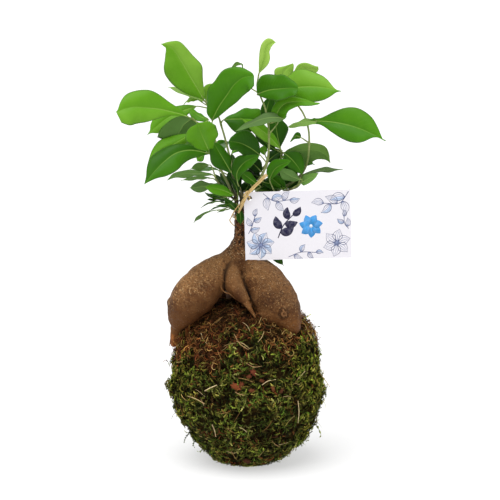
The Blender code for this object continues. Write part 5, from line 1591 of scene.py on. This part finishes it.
def pick(colours, draw, count, spread=0.18):
    """A colour for each shoot, drawn from a list and made lighter or darker at random."""
    table = np.array([rgb(*colour) for colour in colours])
    chosen = table[draw.integers(0, len(table), count)]
    return chosen * np.exp(draw.normal(0, spread, (count, 1)))


GREENS = ((98, 98, 34), (124, 118, 48), (80, 84, 26), (140, 132, 60), (84, 98, 32), (62, 72, 20),
          (112, 96, 42), (70, 88, 28), (100, 108, 38))
BRIGHT = ((110, 124, 42), (134, 138, 60), (88, 114, 36), (150, 148, 80), (116, 128, 46))
BROWNS = ((112, 60, 30), (134, 84, 44), (90, 48, 24), (150, 98, 52), (124, 64, 34), (76, 42, 20))
GOLDS = ((186, 142, 78), (168, 122, 62), (208, 172, 108), (176, 128, 64))


# %% Curved paths of the shoots
FRONT_LIMIT = -65 * MM


def curled_paths(points, outward, draw, length, stations, lean, curl, comb=0.0):
    """Paths that leave the skin at an angle and bend over.

    Each step goes cos(angle) * along the skin + sin(angle) * outward; the angle runs from lean[0] to lean[1],
    and the run along the skin turns sideways by the curl. comb: how far neighbours lie the same way.
    """
    count = len(points)
    common = np.stack([waves(points, 14 * MM, seed) for seed in (71, 72, 73)], axis=1)
    any_way = unit(draw.normal(size=(count, 3))) + comb * unit(common)
    along = unit(any_way - (any_way * outward).sum(1, keepdims=True) * outward)
    aside = np.cross(outward, along)
    share = np.linspace(0, 1, stations - 1)[None, :, None]
    start = draw.uniform(*lean[0], (count, 1, 1))
    stop = draw.uniform(*lean[1], (count, 1, 1))
    angle = start + (stop - start) * share
    swing = draw.normal(0, curl, (count, 1, 1)) * share
    swing = swing + draw.normal(0, curl * 0.5, (count, 1, 1)) * share ** 2
    flat = np.cos(swing) * along[:, None] + np.sin(swing) * aside[:, None]
    steps = np.cos(angle) * flat + np.sin(angle) * outward[:, None]
    steps = steps * (length / (stations - 1))[:, None, None]
    path = np.concatenate([np.zeros((count, 1, 3)), np.cumsum(steps, axis=1)], axis=1) + points[:, None]
    path[..., 1] = np.maximum(path[..., 1], FRONT_LIMIT)
    path[..., 2] = np.maximum(path[..., 2], 0.5 * MM)
    return path


def tube_colours(base, stations, sides, low, high):
    """Each tube's colour, from dark at its root, as painted shade, to light at its tip."""
    light = np.linspace(low, high, stations)
    return np.repeat(base[:, None] * light[None, :, None], sides, axis=1).reshape(-1, 3)


# %% Feathered shoots
SHOOT_STATIONS = 9
SHOOTS_A_LAYER = 2800


def frond_rings(path, outward, width, draw):
    """Flat rings of four points whose sides jump out and in, so the edges have teeth.

    At every second ring the side points reach out and forward by the width, and between they stay at 0.12
    of it. All widths shrink towards the tip by (1 - place)^0.5.
    """
    count, stations = path.shape[:2]
    run = unit(np.gradient(path, axis=1))
    level = unit(np.cross(run, outward[:, None]))
    rise = np.cross(level, run)
    roll = draw.normal(0, 0.6, (count, 1, 1))
    side = np.cos(roll) * level + np.sin(roll) * rise
    rise = np.cross(side, run)
    place = np.linspace(0, 1, stations)
    tooth = (np.arange(stations) % 2 == 1)[None, :, None]
    taper = (0.12 + 0.88 * (1 - place) ** 0.5)[None, :, None] * width[:, None, None]
    reach = np.where(tooth, draw.uniform(0.7, 1.3, (count, stations, 1)), 0.12) * taper
    forward = run * np.where(tooth, draw.uniform(0.7, 1.4, (count, stations, 1)), 0.0) * taper
    thick = 0.18 * taper
    return np.stack([path + side * reach + forward, path + rise * thick, path - side * reach + forward,
                     path - rise * thick], axis=2)


def frond_colours(base, stations, shade):
    """Each shoot's colour: dark at its root, as painted shade in the mat, light at its tip and on the teeth.
    """
    place = np.linspace(0, 1, stations)
    light = (0.05 + 1.45 * place ** 0.9)[:, None] * np.array([1.6, 0.4, 1.6, 0.35])
    return (base[:, None, None] * (light[None] * shade[:, None, None])[..., None]).reshape(-1, 3)


def moss_shoots(name, seed, length, lean, width, sunk, shade):
    """One piece of moss: curved feathered shoots, coloured shoot by shoot and made darker or lighter by
    painted shade.
    """
    points, outward, draw = scatter(SHOOTS_A_LAYER, seed)
    stays = draw.uniform(0, 1, len(points)) > dryness(points) * 0.8
    points, outward = points[stays], outward[stays]
    count = len(points)
    lengths = draw.uniform(*length, count) * MM
    path = curled_paths(points - outward * sunk * MM, outward, draw, lengths, SHOOT_STATIONS, lean, 1.1, 1.0)
    rings = frond_rings(path, outward, draw.uniform(*width, count) * MM, draw)
    rings[..., 2] = np.maximum(rings[..., 2], 0.3 * MM)
    light = shade * np.exp(draw.normal(0, 0.22, count))
    tint = frond_colours(green_palette(points, draw, count), SHOOT_STATIONS, light)
    return tube_mesh(name, rings, {"tint": tint})


def green_palette(points, draw, count):
    """Olive to bright green in patches, with brown where the moss dries, and painted shade and light."""
    colours = pick(GREENS, draw, count)
    fresh = waves(points, 12 * MM, 51) + draw.normal(0, 0.5, count) > 0.3
    colours[fresh] = pick(BRIGHT, draw, int(fresh.sum()))
    edge = blend(0, 1, (np.abs(points[:, 0]) - 32 * MM) / (20 * MM))
    brown = waves(points, 16 * MM, 53) + draw.normal(0, 0.6, count) - edge > 1.0
    dry = (draw.uniform(0, 1, count) < dryness(points) * 0.75) | brown
    colours[dry] = pick(BROWNS, draw, int(dry.sum()))
    # painted shade and light: darker between the tufts, lighter on top of them
    depth = blend(0.22, 1.25, (tufts(points) + 2.1) / 3.8)
    # painted light: the far left and right are lighter and yellower, as if lit through from behind
    sides = 1 + edge[:, None] * np.array([0.38, 0.36, 0.0])
    # painted light too: up to a tenth lighter near the foot
    return colours * sides * (depth * blend(1.1, 1.0, points[:, 2] / (40 * MM)))[:, None]


def moss_material():
    """Matt shoots in the colour stored on their points, with fine mottling."""
    w = Wires("moss")
    grain = w.noise(900, 2)
    colour = w.mix(w.fit(grain, 0.4, 0.7, 0.0, 0.4), w.stored("tint", "Color"), (34, 30, 12))
    w.bump(grain, 0.5, 0.0003)
    return w.set(Base_Color=colour, Roughness=0.7, Specular_IOR_Level=0.08)


MOSS = moss_material()
# The last number of a layer is painted shade and light: 0.3 and 0.4 darken the under layers, up to 1.5
# lightens the top.
UNDER = ((3.5, 6.5), ((0.2, 1.0), (-1.0, 0.2)), (0.9, 1.4), 0.9)
OVER = ((3.5, 7.0), ((0.3, 1.1), (-1.3, 0.1)), (0.8, 1.4))
MOSS_LAYERS = {
    "moss_under_1": (*UNDER, 0.3), "moss_under_2": (*UNDER, 0.4), "moss_shoots_1": (*OVER, 0.7, 0.95),
    "moss_shoots_2": (*OVER, 0.5, 1.05), "moss_shoots_3": (*OVER, 0.3, 1.25),
    "moss_shoots_4": ((3.5, 7.0), ((0.3, 1.1), (-1.2, 0.1)), (0.7, 1.2), 0.0, 1.5),
}
for seed, (name, shape) in enumerate(MOSS_LAYERS.items(), 60):
    add_piece(moss_shoots(name, seed, *shape), MOSS)


# %% Dry fibres towards the top
def fibre_palette(points, draw, count):
    """Browns with golden straws among them."""
    colours = pick(BROWNS, draw, count, 0.22)
    golden = draw.uniform(0, 1, count) < 0.22 + 0.25 * blend(0, 1, points[:, 0] / (30 * MM))
    colours[golden] = pick(GOLDS, draw, int(golden.sum()), 0.15)
    return colours


FIBRES_A_LAYER = 8200
FIBRE_STATIONS = 9
FIBRE_SIDES = 3


def fibres(name, seed):
    """Curly bare tubes that lie close over the bed where it is dry, and one in fifty of them elsewhere."""
    points, outward, draw = scatter(FIBRES_A_LAYER, seed, 0.35)
    stays = draw.uniform(0, 1, len(points)) < np.maximum(dryness(points), 0.02)
    points, outward = points[stays], outward[stays]
    count = len(points)
    lengths = draw.uniform(3, 9, count) * MM
    lean = ((0.1, 1.0), (-0.9, 0.3))
    path = curled_paths(points - outward * 0.5 * MM, outward, draw, lengths, FIBRE_STATIONS, lean, 2.2)
    radii = np.linspace(1, 0.55, FIBRE_STATIONS)[None] * draw.uniform(0.16, 0.36, (count, 1)) * MM
    tubes = tube_points(path, radii, FIBRE_SIDES)
    shade = np.exp(draw.normal(0, 0.4, (count, 1))) * blend(0.3, 1.15, (tufts(points) + 2.1) / 3.8)[:, None]
    shade = shade * blend(1.05, 0.5, (points[:, 2:3] - 110 * MM) / (18 * MM))
    base = fibre_palette(points, draw, count) * shade
    return tube_mesh(name, tubes, {"tint": tube_colours(base, FIBRE_STATIONS, FIBRE_SIDES, 0.35, 1.15)})


add_piece(fibres("dry_fibres_1", 81), MOSS, ["dry_moss_cap"])
add_piece(fibres("dry_fibres_2", 82), MOSS)

# %% [markdown]
# ## Needles, bark flakes and stray shoots
# Gathered moss brings straws, needles and chips of red bark with it, and a few shoots stand out. The ones
# that show are drawn where they lie, and the rest of the ball gets some at random.

# %% Places on the ball
def on_ball(places, lift=0.8):
    """Skin points behind drawing places (column, row): where the ray first comes inside the ball."""
    places = np.asarray(places, float)
    depths = np.linspace(-68, 20, 300)
    grid = np.empty((len(places), len(depths), 3))
    grid[..., :2] = places[:, None, :2]
    grid[..., 2] = depths
    points = seen(grid)
    side = np.interp(points[..., 2], HEIGHTS, RADII, left=0, right=0) + lift * MM
    first = (np.hypot(points[..., 0], points[..., 1]) < side).argmax(axis=1)
    return points[np.arange(len(places)), first]


# %% Straws and needles
DRAWN_STRAWS = (
    ((234, 334), (240, 344), (249, 350), 0.34), ((236, 341), (243, 343.5), (250, 349), 0.26),
    ((187.5, 396), (196, 399), (205, 404), 0.36), ((262, 385), (268, 381), (276, 379.5), 0.3),
    ((298, 401), (299, 411), (298, 423), 0.3), ((212, 424.5), (214, 429), (216, 437), 0.32),
    ((204.5, 391), (210, 388), (217, 385), 0.4), ((235, 392), (239, 394), (245, 395), 0.3),
    ((272, 441), (276, 445), (280, 447), 0.26), ((226, 451), (232, 453), (238, 452.5), 0.24),
    ((258, 342), (262, 337), (264, 331), 0.26), ((246, 363), (254, 367), (262, 366), 0.22),
    ((201, 333), (203, 339), (207, 344), 0.26), ((283, 397), (288, 396), (293, 398), 0.24),
)
NEEDLE = ((319.5, 373, -14, 0.3), (323.5, 378, -18, 0.34), (330, 387, -22, 0.16))
STRAW_TINTS = ((188, 158, 104), (168, 132, 80), (206, 182, 134), (142, 104, 62))
PALE_STRAWS = ((226, 202, 154), (206, 178, 126), (190, 150, 104))
STRAW_STATIONS = 10
STRAW_SIDES = 5


def make_straws(count=90, seed=91):
    """Thin round tubes: the drawn ones, the long needle and random ones that lie along the skin."""
    draw = np.random.default_rng(seed)
    drawn = [smooth_path(on_ball(places, 2.6), STRAW_STATIONS, np.array([0.8, 1.0, 0.5]) * radius * MM)
             for *places, radius in DRAWN_STRAWS]
    drawn.append(smooth_path(seen(NEEDLE), STRAW_STATIONS, np.array(NEEDLE)[:, 3] * MM))
    paths, radii = (np.stack(part) for part in zip(*drawn))
    points, outward, _ = scatter(count, seed)
    lengths = draw.uniform(6, 13, len(points)) * MM
    lean = ((-0.1, 0.35), (-0.35, 0.1))
    loose = curled_paths(points + outward * 1.6 * MM, outward, draw, lengths, STRAW_STATIONS, lean, 0.3)
    thin = np.linspace(1, 0.5, STRAW_STATIONS)[None] * draw.uniform(0.16, 0.32, (len(points), 1)) * MM
    paths, radii = np.concatenate([paths, loose]), np.concatenate([radii, thin])
    tints = pick(STRAW_TINTS, draw, len(paths), 0.12)
    tints[:len(DRAWN_STRAWS)] = pick(PALE_STRAWS, draw, len(DRAWN_STRAWS), 0.08)
    rings = tube_points(paths, radii, STRAW_SIDES)
    return tube_mesh("straws", rings, {"tint": tube_colours(tints, STRAW_STATIONS, STRAW_SIDES, 0.85, 1.1)})


add_piece(make_straws(), MOSS)


# %% Chips of red bark
DRAWN_CHIPS = (
    ((235.5, 387), 3.8, 2.7, 0.5, (122, 64, 36)), ((241.5, 385), 2.4, 2.0, 1.9, (104, 54, 32)),
    ((253.5, 372.5), 2.8, 2.2, 0.9, (112, 56, 38)), ((249, 377), 2.2, 1.7, 2.6, (96, 50, 30)),
    ((273, 388), 3.0, 1.6, 1.3, (120, 70, 42)), ((252, 391), 2.4, 1.7, 0.2, (104, 58, 34)),
    ((212, 366), 2.0, 1.5, 2.2, (92, 46, 30)), ((247, 461), 3.0, 2.2, 0.3, (78, 46, 30)),
    ((282, 391), 2.4, 1.6, 2.4, (84, 48, 30)), ((262, 381), 2.0, 1.4, 0.4, (96, 54, 32)),
)
CHIP_STEPS = 7


def make_chips(count=26, seed=95):
    """Bent plates: a small square grid with a ragged outline, bowed along one way, closed at its rim."""
    draw = np.random.default_rng(seed)
    places, *sizes, colours = zip(*DRAWN_CHIPS)
    middles = on_ball(places, 1.6)
    loose, outward, _ = scatter(count, seed, 0.1, 0.8)
    hidden = loose[:, 1] > 5 * MM
    loose, outward = loose[hidden], outward[hidden]
    outward = np.concatenate([unit(middles * np.array([1, 1, 0])), outward])
    middles = np.concatenate([middles, loose + outward[len(middles):] * 1.5 * MM])
    total, more = len(middles), len(loose)
    others = [draw.uniform(1.8, 3.4, more), draw.uniform(1.2, 2.4, more), draw.uniform(0, 3, more)]
    length, width, turn = (np.concatenate(both)[:, None, None] for both in zip(sizes, others))
    level = unit(np.cross(outward, [0.0, 0.0, 1.0]))
    rise = np.cross(level, outward)
    right = np.cos(turn[:, 0]) * level + np.sin(turn[:, 0]) * rise
    up = np.cos(turn[:, 0]) * rise - np.sin(turn[:, 0]) * level
    middles, right, up, outward = (vectors[:, None, None] for vectors in (middles, right, up, outward))
    u, v = np.meshgrid(np.linspace(-1, 1, CHIP_STEPS), np.linspace(-1, 1, CHIP_STEPS), indexing="ij")
    ragged = 1 + 0.3 * np.sin(7 * u[None] + 5 * v[None] + draw.uniform(0, 6, (total, 1, 1)))
    square = np.maximum(np.abs(u), np.abs(v))
    round_off = np.where(square > 0, square / np.maximum(np.hypot(u, v), 1e-9), 1) * 0.5 + 0.5
    across, along = u * round_off * ragged, v * round_off * ragged
    bow = -0.35 * along ** 2 + 0.12 * np.sin(4 * across + turn)
    thick = 0.22 * np.sqrt(np.maximum(1 - square ** 2, 0))[None] * np.ones((total, 1, 1))
    flat = middles + right * (across * length * MM)[..., None] + up * (along * width * MM)[..., None]
    lower, upper = (flat + outward * ((bow * width + way * thick) * MM)[..., None] for way in (-1.0, 1.0))
    skin = np.concatenate([lower, upper[:, :, -2:0:-1]], axis=2)
    tints = np.concatenate([[rgb(*colour) for colour in colours], pick(colours, draw, more)])
    return tube_mesh("bark_chips", skin, {"tint": np.repeat(tints, skin[0, ..., 0].size, axis=0)})


add_piece(make_chips(), MOSS)


# %% Shoots that stand out
STRAYS = (
    ((170, 392, -20), (166, 387, -24), (164.8, 382, -25), (167.5, 380, -24), (169, 384, -24),
     (167, 388, -23)), ((176, 391, -26), (172, 388, -28), (169, 389, -30), (167, 393, -30)),
    ((312, 424, -12), (317, 426, -16), (319.5, 431, -18), (321, 436, -18), (319, 437.5, -17)),
    ((313, 421, -10), (318, 423, -14), (322, 428, -15)), ((302, 321, -28), (306, 318, -30), (311, 314, -31)),
    ((300, 322, -30), (302, 316, -32), (301, 312, -33)), ((306, 322, -24), (311, 320, -26), (315, 321, -26)),
    ((313, 330, -20), (317, 326, -22), (320, 327, -22)),
    ((168, 362, -14), (165.5, 360, -16), (163.5, 361.5, -16)),
    ((316, 350, -12), (320, 352, -13), (322, 350, -13)), ((323, 391, -8), (326, 393, -9), (327.5, 391.5, -9)),
    ((302, 437, -20), (306, 441, -22), (309, 440, -22)), ((298, 441, -24), (303, 443, -26), (306, 446, -26)),
    ((322, 400, -6), (325, 404, -7), (325.5, 408, -7)), ((188, 434, -26), (185, 439, -28), (184, 443, -28)),
    ((196, 440, -28), (193, 445, -30), (195, 448, -30)),
    ((176, 412, -22), (173, 415, -24), (171.5, 419, -24)),
    ((203, 449, -30), (199, 452, -32), (197, 451, -32)), ((284, 452, -28), (287, 456, -28), (290, 456, -27)),
    ((243, 460, -30), (244, 466, -30), (247, 467, -30)),
)


def make_strays(seed=97):
    """Feathered shoots along drawn curves, and more at random all round the ball."""
    draw = np.random.default_rng(seed)
    drawn = np.stack([smooth_path(seen(places), SHOOT_STATIONS) for places in STRAYS])
    away = unit(drawn[:, 0] * np.array([1, 1, 0]))
    points, outward, _ = scatter(240, seed, 0.12, 0.85)
    lengths = draw.uniform(3, 6, len(points)) * MM
    loose = curled_paths(points, outward, draw, lengths, SHOOT_STATIONS, ((0.4, 1.0), (-0.4, 0.7)), 0.9)
    paths = np.concatenate([drawn, loose])
    outward = np.concatenate([away, outward])
    rings = frond_rings(paths, outward, draw.uniform(0.8, 1.2, len(paths)) * MM, draw)
    rings[..., 2] = np.maximum(rings[..., 2], 0.3 * MM)
    greens = green_palette(paths[:, 0], draw, len(paths))
    tint = frond_colours(greens, SHOOT_STATIONS, np.full(len(paths), 1.1))
    return tube_mesh("stray_shoots", rings, {"tint": tint})


add_piece(make_strays(), MOSS)
print("moss done")

# %% Sizes and finish
new_low, new_high = (list(corner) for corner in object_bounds())
for name, low, high in (("solid", cad_low, cad_high), ("dressed", new_low, new_high)):
    print(name, "box in mm:", [[round(value * 1000, 1) for value in corner] for corner in (low, high)])
